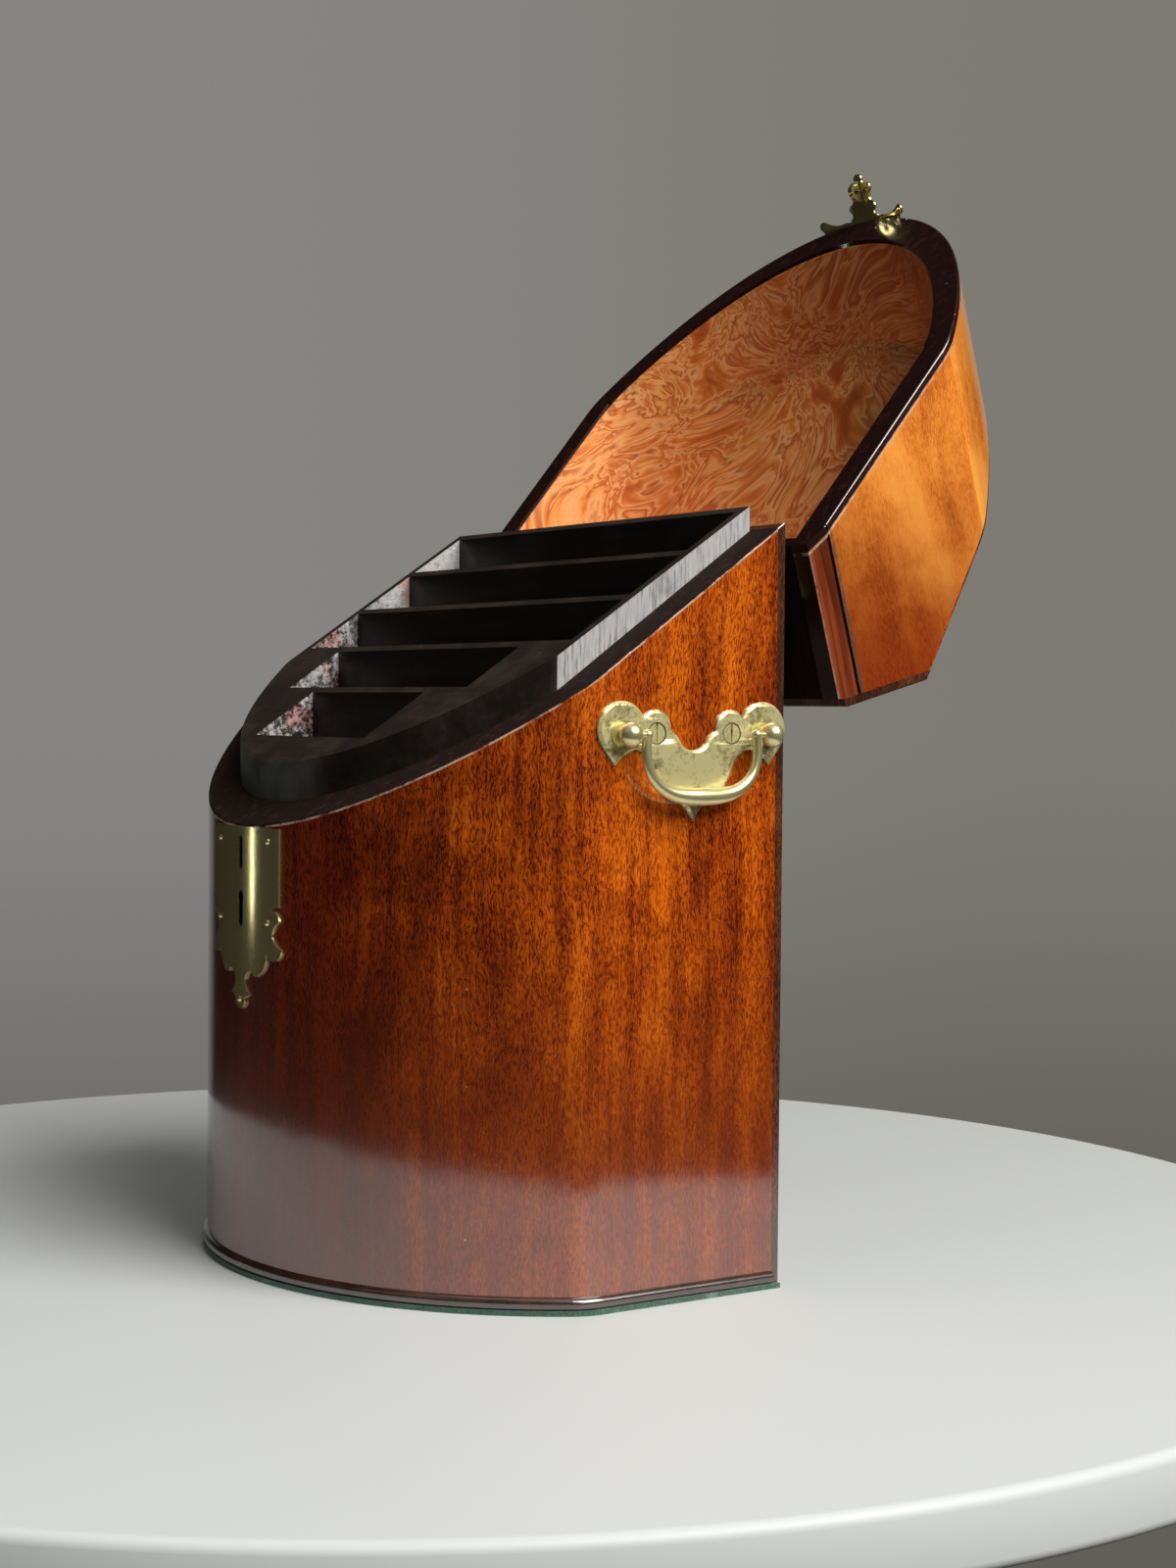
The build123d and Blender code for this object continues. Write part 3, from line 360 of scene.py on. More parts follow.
# Hung pieces are coloured as if the lid were shut, so that grain and shading run on from the
# case. This is the turn about the hinge pin from there to the open lid.
hinge_behind, hinge_below, open_angle = 0.0064, 0.0048, radians(164.6)
hinge_place = Vector((0, back_y + hinge_behind, rim_back_z - hinge_below))
swing = (Matrix.Translation(hinge_place) @ Matrix.Rotation(-open_angle, 4, "X")
         @ Matrix.Translation(-hinge_place))
lid_back_facing = swing.to_3x3() @ Vector((0, 1, 0))
shut_shift = swing.inverted().translation
corner_side = 0.0079
dust_colour, near_black = (0.62, 0.42, 0.33, 1), (0.016, 0.007, 0.0045)
veneer_roughness = 0.32


def painted_shade_slope(tree, colour, place, figure, shade):
    """Painted shade: colour darkened on one side of a slope through the box, with a cloudy border.
    """
    direction, low, high, tint, drifting = shade
    painted_shade_colour = mix_colour(tree, 1.0, colour, (*tint, 1), "MULTIPLY")
    drift = times(tree, minus(tree, figure, 0.5), (high - low) * drifting)
    lean = plus(tree, dot_product(tree, place, direction), drift)
    return mix_colour(tree, spread(tree, lean, low, high), painted_shade_colour, colour)


def corner_strip(tree, colour, normal, shut_place, fibre, wear):
    """The lid's upright back corners: a red strip, a black scratched line, dust, a pale arris that
    is partly wear and partly painted highlight, and back ends painted near black as shade.
    """
    behind = minus(tree, back_y, axis(tree, shut_place, "Y"))
    ragged = plus(tree, behind, times(tree, minus(tree, wear, 0.5), 0.0008))
    strip = mix_colour(tree, spread(tree, fibre, 0.4, 0.65), (0.12, 0.02, 0.005, 1),
                       (0.42, 0.085, 0.024, 1))
    on_strip = spread(tree, behind, corner_side - 0.0003, corner_side, 1.0, 0.0)
    colour = mix_colour(tree, on_strip, colour, strip)
    dusty = times(tree, spread(tree, ragged, corner_side + 0.0036, corner_side + 0.0024),
                  spread(tree, wear, 0.3, 0.6, 0.3, 0.85))
    dusty = times(tree, dusty, spread(tree, behind, corner_side, corner_side + 0.0008))
    colour = mix_colour(tree, dusty, colour, (0.1, 0.06, 0.04, 1))
    groove = times(tree, spread(tree, behind, corner_side - 0.0005, corner_side - 0.0001),
                   spread(tree, ragged, corner_side + 0.0015, corner_side + 0.001))
    colour = mix_colour(tree, groove, colour, (0.003, 0.002, 0.002, 1))
    # Pale arris: partly rubbed wear, partly painted highlight.
    arris = times(tree, spread(tree, ragged, 0.0009, 0.0005), spread(tree, wear, 0.35, 0.55))
    colour = mix_colour(tree, arris, colour, (0.33, 0.22, 0.15, 1))
    # Painted shade: faces turned like the lid's back are made near black.
    painted_back_shade = spread(tree, dot_product(tree, normal, lid_back_facing), 0.93, 0.99)
    return mix_colour(tree, painted_back_shade, colour, (0.004, 0.002, 0.0015, 1))


def rim_band(tree, shader, colour, place, wear, plane, band, line, specks):
    """A dark matt band along a sloping rim, with a pale line just under it that is partly rubbed
    wear and partly painted highlight.
    """
    normal, offset = plane
    width, rim_colour, dulled = band
    line_at, line_width, line_colour, line_share = line
    depth = group_node(tree, plane_group, Vector=place, Normal=normal, Offset=offset)[0]
    depth = plus(tree, depth, times(tree, minus(tree, wear, 0.5), 0.0006))
    dark = spread(tree, depth, width * 0.85, width * 1.1, 1.0, 0.0)
    lighter = [min(1, part * 3.0) for part in rim_colour]
    tone = mix_colour(tree, spread(tree, wear, 0.5, 0.75), (*rim_colour, 1), (*lighter, 1))
    nicks = group_node(tree, speck_group, Vector=place, Scale=240.0, Amount=specks * 2.5)[0]
    tone = mix_colour(tree, times(tree, nicks, 0.7), tone, dust_colour)
    colour = mix_colour(tree, dark, colour, tone)
    # The pale line: partly rubbed wear, partly a painted highlight on the rounded arris.
    near = reckon(tree, "ABSOLUTE", minus(tree, depth, line_at))
    wear_and_sheen = spread(tree, near, line_width * 0.4, line_width * 0.75, 1.0, 0.0)
    patchy = noise(tree, place, 75.0, 4.0, 0.7)
    patchy = spread(tree, patchy, 0.62 - line_share, 0.8 - line_share)
    colour = mix_colour(tree, times(tree, wear_and_sheen, patchy), colour, (*line_colour, 1))
    tree.links.new(minus(tree, 1.0, times(tree, dark, dulled)), shader.inputs["Coat Weight"])
    tree.links.new(plus(tree, veneer_roughness, times(tree, dark, dulled * 0.5)),
                   shader.inputs["Roughness"])
    return colour


def polished_wood(name, stops, figure_size, weights=(0.5, 0.62, 0.6), reach=(0.34, 0.8),
                  hung=False, turned=0.0, shift=(0, 0, 0), specks=0.02, gloss=0.1, plane=None,
                  band=None, line=None, shade=None, corner=False, foot=None):
    """Shellacked wood: upright grain, and where asked for its rim, corner, painted shade down one
    side and painted shade at the foot.
    """
    fibre_weight, figure_weight, pore_weight = weights
    material, tree, shader = new_material(
        name, Roughness=veneer_roughness, Specular_IOR_Level=0.15, Coat_Weight=1.0,
        Coat_Roughness=gloss, Coat_IOR=2.15)
    coords = add_node(tree, "ShaderNodeTexCoord").outputs
    place = coords["Object"]
    shut_place = add_node(tree, "ShaderNodeMapping", {
        "Vector": place, "Rotation": (open_angle if hung else 0, 0, 0),
        "Location": shut_shift if hung else (0, 0, 0)}).outputs[0]
    lay = add_node(tree, "ShaderNodeMapping", {
        "Vector": shut_place, "Rotation": (turned, 0, 0), "Location": shift}).outputs[0]
    grain = group_node(tree, grain_group, Vector=lay, Figure_Size=figure_size)
    tone = plus(tree, times(tree, grain["Fibre"], fibre_weight),
                times(tree, grain["Figure"], figure_weight))
    pores = spread(tree, grain["Dashes"], 0.56, 0.4, -0.09, 0.2)
    tone = spread(tree, plus(tree, tone, times(tree, pores, -pore_weight)), *reach)
    colour = colour_steps(tree, tone, stops)
    # Painted shade: the colour darkens on one side of a slope through the box.
    if shade:
        colour = painted_shade_slope(tree, colour, shut_place, grain["Figure"], shade)
    # Painted shade: the colour darkens toward the bottom.
    if foot:
        painted_foot_shade = spread(tree, axis(tree, place, "Z"), foot, foot - 0.12, 0.0, 0.68)
        colour = mix_colour(tree, painted_foot_shade, colour, (0.13, 0.02, 0.003, 1))
    nicks = group_node(tree, speck_group, Vector=place, Scale=170.0, Amount=specks)[0]
    colour = mix_colour(tree, times(tree, nicks, 0.6), colour, dust_colour)
    wear = noise(tree, place, 190.0, 4.0, 0.65)
    if corner:
        colour = corner_strip(tree, colour, coords["Normal"], shut_place, grain["Fibre"], wear)
    if plane:
        colour = rim_band(tree, shader, colour, place, wear, plane, band, line, specks)
    tree.links.new(colour, shader.inputs["Base Color"])
    add_bump(tree, shader.inputs["Normal"], grain["Height"], 0.0004, 0.25)
    waves = plus(tree, noise(tree, place, 30.0, 2.0, 0.5), times(tree, grain["Height"], 0.05))
    add_bump(tree, shader.inputs["Coat Normal"], waves, 0.0012, 0.1)
    return material


def dress(names, material):
    """Gives CAD nodes their material."""
    for name in names:
        mesh = nodes[name].data
        mesh.materials.clear()
        mesh.materials.append(material)


case_stops = [(0.0, (0.055, 0.005, 0.0005)), (0.22, (0.14, 0.015, 0.001)),
              (0.45, (0.29, 0.039, 0.0012)), (0.68, (0.47, 0.08, 0.002)),
              (1.0, (0.8, 0.185, 0.006))]
# Painted shade darkens the bow toward its left front and the walls toward the foot, and the pale
# line under the black rim is partly painted highlight and partly wear.
case_veneer = polished_wood(
    "case_veneer", case_stops, 1.0, weights=(0.55, 0.4, 0.5), reach=(0.27, 0.69),
    plane=rim_plane, band=(0.0006, near_black, 1.0),
    line=(0.0008, 0.0006, (0.6, 0.4, 0.3), 0.24),
    shade=((0.85, 0.53, 0.0), 0.01, 0.086, (0.34, 0.19, 0.2), 1.1), foot=0.17)
dress(("case_side_right", "case_side_left", "case_bow_front"), case_veneer)

# Lid: two sides, a bowed front, a flat top and a sloping panel, of the same build as the case
# but in paler veneer. Its rim is blackened, and its upright back corners are cut to a strip.
lid_stops = [(0.0, (0.2, 0.028, 0.004)), (0.25, (0.42, 0.08, 0.008)), (0.5, (0.66, 0.17, 0.018)),
             (0.75, (0.9, 0.28, 0.034)), (1.0, (0.97, 0.38, 0.065))]
lid_rim_normal = swing.to_3x3() @ rim_normal
lid_rim_offset = lid_rim_normal.dot(swing @ Vector((0, back_y, rim_back_z)))
lid_plane = (-lid_rim_normal, -lid_rim_offset)
lid_band = (0.0034, (0.018, 0.004, 0.003), 0.3)
# Painted shade darkens the lid sides toward the top and back as shut, which hang lowest when open,
# and their back ends are painted near black as shade. The pale rim lines and arrises are partly
# painted highlight and partly wear.
lid_veneer = polished_wood(
    "lid_veneer", lid_stops, 1.9, weights=(0.3, 0.75, 0.3), reach=(0.2, 0.66), hung=True,
    specks=0.03, plane=lid_plane, band=lid_band, line=(0.0038, 0.0009, (0.7, 0.4, 0.25), 0.22),
    shade=((0.0, -0.266, -0.964), -0.37, -0.26, (0.3, 0.14, 0.11), 1.2), corner=True)
lid_bow_veneer = polished_wood(
    "lid_bow_veneer", lid_stops, 1.6, weights=(0.34, 0.75, 0.3), reach=(0.18, 0.62), hung=True,
    specks=0.03, plane=lid_plane, band=lid_band, line=(0.0038, 0.0009, (0.42, 0.23, 0.15), 0.15))
top_veneer = polished_wood(
    "top_veneer", case_stops, 1.3, hung=True, turned=radians(45), shift=(0.3, 0, 0))
dress(("lid_side_right", "lid_side_left"), lid_veneer)
dress(("lid_bow_front",), lid_bow_veneer)
dress(("lid_slope_panel",), top_veneer)

# Case back, lid top and lid back: thin boards planted over the ends of the sides. The first two
# are stained brown and polished. The lid's back is only stained, because it is hardly seen, and
# its stain is made near black as painted shade for the shadow it stands in.
back_stops = [(0.0, (0.02, 0.006, 0.002)), (0.5, (0.07, 0.019, 0.006)),
              (1.0, (0.16, 0.05, 0.015))]
back_edge = polished_wood("back_edge", back_stops, 1.0, specks=0.04, gloss=0.2)
dress(("lid_flat_top", "case_back"), back_edge)
lid_back_stain_and_shade, tree, shader = new_material(
    "lid_back_stain_and_shade", Roughness=0.55, Specular_IOR_Level=0.12)
place = add_node(tree, "ShaderNodeTexCoord").outputs["Object"]
board = group_node(tree, grain_group, Vector=place)
stain_and_shade = colour_steps(tree, blend(tree, board["Fibre"], 0.6, board["Dashes"]), [
    (0.35, (0.005, 0.0025, 0.0018)), (0.5, (0.013, 0.005, 0.003)), (0.65, (0.035, 0.014, 0.008))])
tree.links.new(stain_and_shade, shader.inputs["Base Color"])
dress(("lid_back",), lid_back_stain_and_shade)

# Bottom board and base mouldings: the board closes the case from below, and half-round strips
# of dark mahogany are glued round the foot. All of them have the same dark finish.
brown_stops = [(0.0, (0.01, 0.004, 0.002)), (0.5, (0.032, 0.012, 0.007)),
               (1.0, (0.08, 0.03, 0.016))]
dark_edge = polished_wood("dark_edge", brown_stops, 1.0, specks=0.05, gloss=0.2)
dress(("case_bottom", "base_bead_front", "base_bead_right", "base_bead_left"), dark_edge)


# Ebonised insert: soft wood stained black and rubbed over with a thin varnish. Saw marks show on
# the outer faces of its sides, and dust lies on every upper face.
def facing(tree, normal, direction, low, high):
    """How nearly a face turns to a direction, from 0 to 1."""
    return spread(tree, dot_product(tree, normal, direction), low, high)


insert_edge, slot_end = 0.1158, 0.09
black_stain, tree, shader = new_material("black_stain", Roughness=0.45, Specular_IOR_Level=0.3)
coords = add_node(tree, "ShaderNodeTexCoord").outputs
place, normal = coords["Object"], coords["Normal"]
across, along = axis(tree, place, "X"), axis(tree, place, "Y")
smudge = noise(tree, place, 42.0, 5.0, 0.65)
streak = noise(tree, place, 1.0, 4.0, 0.6, stretch=(18, 420, 300))
tone = colour_steps(tree, times(tree, plus(tree, smudge, streak), 0.5), [
    (0.32, (0.007, 0.0045, 0.0035)), (0.52, (0.015, 0.01, 0.008)), (0.72, (0.034, 0.024, 0.019))])
# The bow block's front: a grey that is partly rubbed wear and dust and partly painted sheen. The
# upper faces: dust. Flecks over all.
wear_and_sheen = times(tree, facing(tree, normal, (-0.2, -0.98, 0), 0.86, 0.97),
               spread(tree, smudge, 0.35, 0.6, 0.35, 1.0))
block_only = spread(tree, along, -0.03, -0.045)
tone = mix_colour(tree, times(tree, wear_and_sheen, block_only), tone, (0.09, 0.088, 0.086, 1))
up = facing(tree, normal, (0, 0, 1), 0.3, 0.9)
dust = times(tree, up, spread(tree, smudge, 0.38, 0.72, 0.05, 0.5))
tone = mix_colour(tree, dust, tone, (0.055, 0.037, 0.026, 1))
flecks = group_node(tree, speck_group, Vector=place, Scale=300.0, Amount=0.06)[0]
tone = mix_colour(tree, times(tree, flecks, 0.45), tone, (0.4, 0.34, 0.3, 1))
# Inner ends of the slots that face the window: painted glints of its light, pinkish and patchy,
# over bubbled varnish.
crust = noise(tree, place, 330.0, 6.0, 0.75)
patches = noise(tree, place, 60.0, 3.0, 0.6)
painted_glints = times(tree, spread(tree, crust, 0.42, 0.62), spread(tree, patches, 0.3, 0.55, 0.45, 1.0))
farther = spread(tree, plus(tree, along, times(tree, crust, 0.05)), 0.035, 0.075, 0.0, 0.9)
painted_glints = reckon(tree, "MAXIMUM", painted_glints, farther)
painted_glints = times(tree, painted_glints, spread(tree, crust, 0.34, 0.52, 0.55, 1.0))
glint_colour = mix_colour(tree, spread(tree, patches, 0.5, 0.62), (0.62, 0.6, 0.59, 1),
                     (0.55, 0.3, 0.27, 1))
inner_end = times(tree, facing(tree, normal, (1, 0, 0), 0.7, 0.95),
                  reckon(tree, "LESS_THAN", across, slot_end))
tone = mix_colour(tree, times(tree, inner_end, painted_glints), tone, glint_colour)
# Outer faces of the sides: a silvery grey that is partly rubbed-through wear and partly painted
# sheen, with upright saw and knife marks.
saw = noise(tree, place, 1.0, 5.0, 0.75, stretch=(10, 800, 60))
cuts = noise(tree, place, 1.0, 2.0, 0.5, stretch=(10, 700, 30))
worn_and_sheen_grey = colour_steps(tree, saw, [
    (0.36, (0.18, 0.17, 0.165)), (0.47, (0.4, 0.385, 0.38)), (0.66, (0.52, 0.51, 0.505))])
worn_and_sheen_grey = mix_colour(tree, spread(tree, cuts, 0.66, 0.72, 0.0, 0.75), worn_and_sheen_grey, (0.07, 0.062, 0.06, 1))
worn_and_sheen_grey = mix_colour(tree, spread(tree, smudge, 0.58, 0.75, 0.0, 0.6), worn_and_sheen_grey, (0.14, 0.13, 0.125, 1))
outer = reckon(tree, "GREATER_THAN", reckon(tree, "ABSOLUTE", across), insert_edge - 0.0003)
outer = times(tree, outer, times(tree, minus(tree, 1.0, up), minus(tree, 1.0, block_only)))
tone = mix_colour(tree, outer, tone, worn_and_sheen_grey)
tree.links.new(tone, shader.inputs["Base Color"])
tree.links.new(spread(tree, smudge, 0.3, 0.75, 0.36, 0.6), shader.inputs["Roughness"])
bubbles = times(tree, times(tree, crust, inner_end), 1.4)
ridges = times(tree, saw, plus(tree, times(tree, outer, 0.5), 0.08))
add_bump(tree, shader.inputs["Normal"], plus(tree, bubbles, ridges), 0.001, 0.7)
dress([name for name in nodes if name.startswith(("insert_", "partition_"))], black_stain)

# Marbled paper: pasted over the inside of the lid. Orange, red-brown and olive size colours are
# combed and curled in bands, drawn as contours of a noise whose place three others bend.
marbled_paper, tree, shader = new_material(
    "marbled_paper", Roughness=0.42, Specular_IOR_Level=0.3, Coat_Weight=0.3, Coat_Roughness=0.4)
place = add_node(tree, "ShaderNodeTexCoord").outputs["Object"]
combed = place
for comb_scale, comb_reach in ((6.6, 0.23), (18.0, 0.075), (50.0, 0.013)):
    push = noise(tree, combed, comb_scale, 1.0, 0.4, output="Color")
    combed = strayed(tree, combed, push, (comb_reach,) * 3)
pools = noise(tree, combed, 22.0, 2.0, 0.5)
veins = noise(tree, combed, 1.0, 3.0, 0.6, stretch=(84, 30, 70))
bands = blend(tree, pools, 0.55, veins)
colour = colour_steps(tree, spread(tree, bands, 0.3, 0.7), [
    (0.0, (0.46, 0.09, 0.015)), (0.14, (0.62, 0.15, 0.026)), (0.27, (0.8, 0.26, 0.05)),
    (0.36, (0.93, 0.46, 0.17)), (0.43, (0.6, 0.14, 0.025)), (0.52, (0.86, 0.32, 0.075)),
    (0.59, (0.95, 0.48, 0.18)), (0.66, (0.52, 0.11, 0.018)), (0.77, (0.88, 0.33, 0.08)),
    (0.88, (0.94, 0.46, 0.17)), (1.0, (0.56, 0.14, 0.025))])
drift = noise(tree, combed, 17.0, 2.0, 0.5)
olive = times(tree, spread(tree, drift, 0.59, 0.66), spread(tree, bands, 0.4, 0.55, 0.05, 0.4))
colour = mix_colour(tree, olive, colour, (0.36, 0.28, 0.08, 1))
# Painted shade: darker toward the right wall of the lid, whose shadow falls on that part of the
# lining.
painted_wall_shade = plus(tree, axis(tree, place, "X"), times(tree, drift, 0.08))
colour = mix_colour(tree, spread(tree, painted_wall_shade, 0.035, 0.145), colour,
                    mix_colour(tree, 1.0, colour, (0.36, 0.21, 0.12, 1), "MULTIPLY"))
tree.links.new(colour, shader.inputs["Base Color"])
crinkle = noise(tree, place, 210.0, 3.0, 0.6)
add_bump(tree, shader.inputs["Normal"], crinkle, 0.0004, 0.22)
dress(("lid_lining",), marbled_paper)


# Handles: a cast brass plate, two turned posts, screws and a swan-neck bail on each side. The
# plates are pitted and dull, with their front edges filed to a bevel, and the bails rubbed bright.
def aged_brass(name, bright, dull, rough, metal=0.8, mottled=0.6, scratch=0.2, relief=0.25,
               gloss_span=(0.85, 1.5), pitted=0.16, seams=None):
    """Old cast brass with a cloudy patina, fine scratches, dark specks and seams at screws."""
    material, tree, shader = new_material(name, Metallic=metal, Roughness=rough)
    place = add_node(tree, "ShaderNodeTexCoord").outputs["Object"]
    mottle = noise(tree, place, 420.0, 5.0, 0.7)
    patina = blend(tree, mottle, 0.5, noise(tree, place, 75.0, 4.0, 0.6))
    patina = spread(tree, patina, 0.45, 0.6, 0.0, mottled)
    colour = mix_colour(tree, patina, (*bright, 1), (*dull, 1))
    pits = group_node(tree, speck_group, Vector=place, Scale=620.0, Amount=pitted)[0]
    colour = mix_colour(tree, times(tree, pits, 0.6), colour, (0.09, 0.08, 0.035, 1))
    if seams:
        middle, offset, radius = seams
        apart = vector_maths(tree, "SUBTRACT", place, middle)
        aside = minus(tree, reckon(tree, "ABSOLUTE", axis(tree, apart, "Y")), offset)
        reach = plus(tree, reckon(tree, "POWER", aside, 2.0),
                     reckon(tree, "POWER", axis(tree, apart, "Z"), 2.0))
        edge = minus(tree, reckon(tree, "SQRT", reach), radius)
        seam = spread(tree, reckon(tree, "ABSOLUTE", edge), 0.0001, 0.00045, 0.85, 0.0)
        colour = mix_colour(tree, seam, colour, (0.05, 0.045, 0.02, 1))
    tree.links.new(colour, shader.inputs["Base Color"])
    lines = times(tree, noise(tree, place, 1.0, 3.0, 0.7, stretch=(700, 60, 700)), scratch)
    low, high = gloss_span
    roughness = spread(tree, plus(tree, times(tree, patina, 0.8), lines), 0.0, 0.8,
                       rough * low, rough * high)
    tree.links.new(roughness, shader.inputs["Roughness"])
    height = plus(tree, times(tree, mottle, 0.5), lines)
    add_bump(tree, shader.inputs["Normal"], height, 0.0002, relief)
    return material


weld_distance = 2e-6


def node_copy(name):
    """A bmesh of a CAD node with its doubles merged."""
    bm = bmesh.new()
    bm.from_mesh(nodes[name].data)
    bmesh.ops.remove_doubles(bm, verts=bm.verts, dist=weld_distance)
    return bm


def stand_in(obj, name):
    """Puts a finished brass piece in a CAD node's place, on the node's body."""
    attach(obj, body_of(nodes[name])[0])
    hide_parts(name)


def border_rings(faces):
    """The loops of vertices round some faces, the widest first."""
    onward, inside = {}, set(faces)
    for face in faces:
        for loop in face.loops:
            if any(other not in inside for other in loop.edge.link_faces):
                onward[loop.vert] = loop.link_loop_next.vert
    rings = []
    while onward:
        vert = next(iter(onward))
        ring = []
        while vert in onward:
            ring.append(vert)
            vert = onward.pop(vert)
        rings.append(ring)
    return sorted(rings, key=lambda ring: -max((vert.co - ring[0].co).length for vert in ring))


def drawn_in(outline, width):
    """An outline moved inward by a width, or by less where it would meet itself."""
    inner = []
    for index, place in enumerate(outline):
        before = place - outline[index - 1]
        after = outline[(index + 1) % len(outline)] - place
        run = before.normalized() + after.normalized()
        inward = Vector((-run.y, run.x)).normalized()
        reach = width
        for other in outline:
            gap = other - place
            towards = gap.dot(inward)
            if towards > 1e-5:
                reach = min(reach, 0.85 * gap.length_squared / (2 * towards))
        inner.append(place + inward * max(reach, 2e-5))
    return inner


def filed_plate(name, facing_x, bevel_width, bevel_depth, material):
    """A cast plate whose front edge is filed to a wide bevel all round its outline."""
    bm = node_copy(name)
    bmesh.ops.recalc_face_normals(bm, faces=bm.faces)
    face_x = max(vert.co.x * facing_x for vert in bm.verts)
    back_x = min(vert.co.x * facing_x for vert in bm.verts)
    front = [face for face in bm.faces if face.normal.x * facing_x > 0.999
             and face.calc_center_median().x * facing_x > face_x - 1e-5]
    rings = border_rings(front)
    # The plate's upright edge: each face reached from the outline without crossing front or back.
    walls = set()
    waiting = [face for vert in rings[0] for face in vert.link_faces if face not in front]
    while waiting:
        face = waiting.pop()
        if face not in walls and abs(face.normal.x) < 0.9:
            walls.add(face)
            waiting += [other for edge in face.edges for other in edge.link_faces
                        if other not in front]
    outline = [Vector((vert.co.y * facing_x, vert.co.z)) for vert in rings[0]]
    holes = [[vert.co.copy() for vert in ring] for ring in rings[1:]]
    bmesh.ops.delete(bm, geom=list(walls.union(front)), context="FACES")
    contours = ((back_x, outline), (face_x - bevel_depth, outline),
                (face_x, drawn_in(outline, bevel_width)))
    levels = [[bm.verts.new((facing_x * x, place.x * facing_x, place.y)) for place in line]
              for x, line in contours]
    for low, high in zip(levels, levels[1:]):
        for index in range(len(outline)):
            after = (index + 1) % len(outline)
            bm.faces.new((low[index], low[after], high[after], high[index]))
    caps = [levels[-1]] + [[bm.verts.new(corner) for corner in ring] for ring in holes]
    flat = [vert for ring in caps for vert in ring]
    for corners in tessellate_polygon([[vert.co for vert in ring] for ring in caps]):
        bm.faces.new([flat[corner] for corner in corners])
    bmesh.ops.remove_doubles(bm, verts=bm.verts, dist=weld_distance)
    bmesh.ops.recalc_face_normals(bm, faces=bm.faces)
    obj = finish_object(name + "_filed", bm, material)
    obj.data.set_sharp_from_angle(angle=radians(24))
    stand_in(obj, name)


plate_low, plate_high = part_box("handle_plate_right")
screw_rise, screw_apart, screw_head = 0.0343, 0.0179, 0.0041
plate_bevel_width, plate_bevel_depth = 0.0011, 0.0008
screw_middle = (0, (plate_low[1] + plate_high[1]) / 2, plate_low[2] + screw_rise)
handle_brass = aged_brass(
    "handle_brass", (0.78, 0.7, 0.34), (0.2, 0.17, 0.065), 0.36, metal=0.55, mottled=0.95,
    seams=(screw_middle, screw_apart, screw_head))
bail_brass = aged_brass(
    "bail_brass", (0.82, 0.74, 0.38), (0.6, 0.52, 0.24), 0.3, mottled=0.4, relief=0.03,
    gloss_span=(0.95, 1.2))
for side, facing_x in (("right", 1), ("left", -1)):
    filed_plate(f"handle_plate_{side}", facing_x, plate_bevel_width, plate_bevel_depth,
                handle_brass)
    dress((f"handle_posts_{side}", f"bail_{side}"), bail_brass)
    dress((f"handle_screws_{side}",), handle_brass)

# Hinges: two brass butts behind the box, each a leaf on the case, a leaf on the lid and a pin,
# let in and held by countersunk screws. They are duller than the handles.
hinge_brass = aged_brass("hinge_brass", (0.5, 0.4, 0.18), (0.25, 0.19, 0.08), 0.4)
dress([name for name in nodes if name.startswith("hinge_")], hinge_brass)


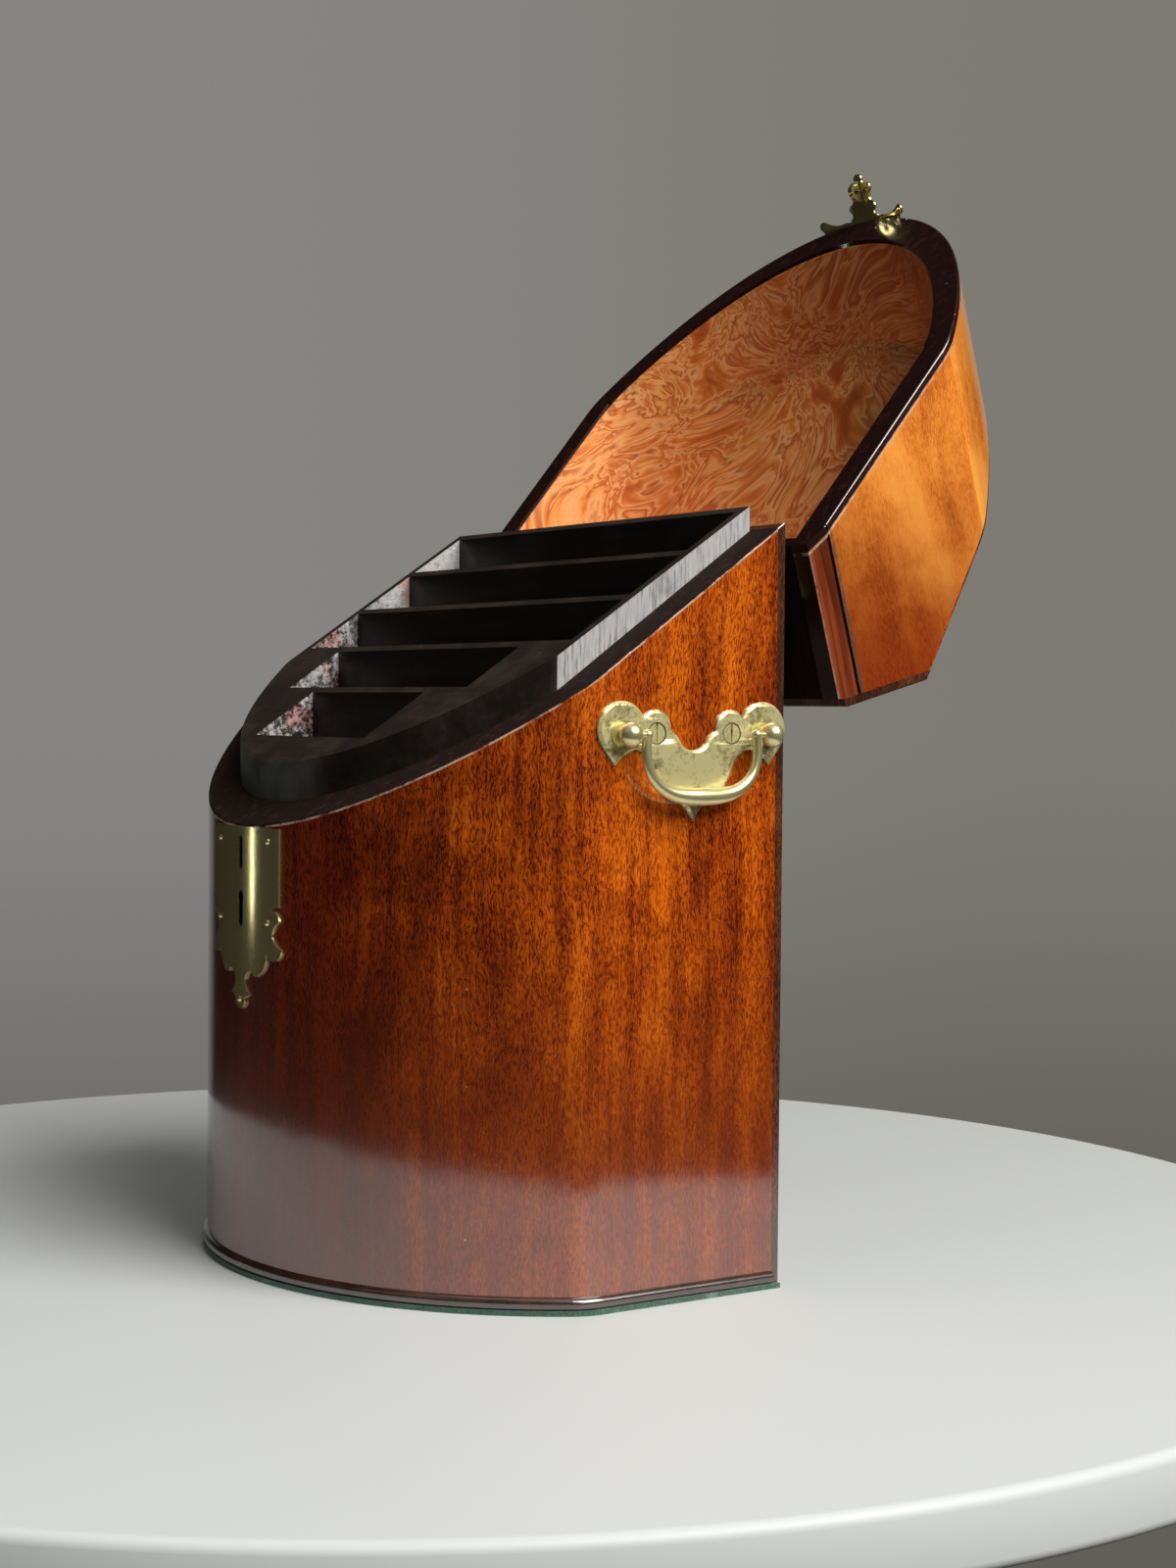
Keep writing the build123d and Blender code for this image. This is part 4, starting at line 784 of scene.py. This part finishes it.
# Escutcheon and hasp: scrolled plates of rolled brass, bent to the bow and pinned. Both are kept
# polished, their outer edges are rounded by rubbing, and the hasp's eye is filed to fit its slit.
def worn_copy(name, rounded_by, thinned_half=None):
    """A CAD node's shape with its sharp outer edges rounded, and its eye's two cheeks filed."""
    bm = node_copy(name)
    bmesh.ops.dissolve_limit(bm, angle_limit=radians(0.6), verts=bm.verts, edges=bm.edges)
    bmesh.ops.recalc_face_normals(bm, faces=bm.faces)
    if thinned_half:
        cheeks = [vert for vert in bm.verts if abs(abs(vert.co.x) - thinned_half) < 1e-5]
        bmesh.ops.scale(bm, vec=(filed_share, 1, 1), verts=cheeks)
    rubbed_edges = bm.edges.layers.float.new("bevel_weight_edge")
    for edge in bm.edges:
        if len(edge.link_faces) == 2 and edge.calc_face_angle_signed() > sharp_from:
            edge[rubbed_edges] = 1.0
    obj = finish_object(name + "_worn", bm, plate_brass)
    rounding = obj.modifiers.new("rounded", "BEVEL")
    rounding.width = rounded_by
    rounding.segments = 3
    rounding.limit_method = "WEIGHT"
    rounding.use_clamp_overlap = True
    obj.modifiers.new("even_shading", "WEIGHTED_NORMAL")
    stand_in(obj, name)


sharp_from, hasp_eye_half, filed_share = radians(32), 0.0012, 0.94
plate_brass = aged_brass(
    "plate_brass", (0.84, 0.72, 0.32), (0.62, 0.52, 0.21), 0.12, metal=0.85, mottled=0.25,
    scratch=0.1, relief=0.015, gloss_span=(0.95, 1.1), pitted=0.03)
worn_copy("escutcheon_plate", 0.0005)
worn_copy("hasp", 0.0004, thinned_half=hasp_eye_half)
dress(("escutcheon_pins", "hasp_pins"), plate_brass)

# Lock: blackened iron box and bolt let into the bow from inside, seen only through the slit and
# the keyhole.
iron, _, _ = new_material(
    "lock_iron", Base_Color=(0.035, 0.033, 0.03, 1), Metallic=0.8, Roughness=0.45)
dress(("lock_case", "lock_cap", "lock_bolt"), iron)

# Baize: green woollen felt glued under the base so that the box doesn't scratch a table. Its
# trimmed edge is rough and faded in patches.
baize, tree, shader = new_material("baize", Roughness=0.95, Sheen_Weight=0.4)
place = add_node(tree, "ShaderNodeTexCoord").outputs["Object"]
fluff = noise(tree, place, 900.0, 5.0, 0.7)
colour = colour_steps(tree, fluff, [
    (0.3, (0.012, 0.05, 0.035)), (0.55, (0.035, 0.11, 0.075)), (0.8, (0.16, 0.25, 0.2))])
faded = spread(tree, noise(tree, place, 60.0, 3.0, 0.6), 0.55, 0.8, 0.0, 0.6)
colour = mix_colour(tree, faded, colour, (0.4, 0.45, 0.42, 1))
tree.links.new(colour, shader.inputs["Base Color"])
add_bump(tree, shader.inputs["Normal"], fluff, 0.001, 0.8)
dress(("base_baize",), baize)

bpy.context.scene.view_settings.view_transform = "Standard"
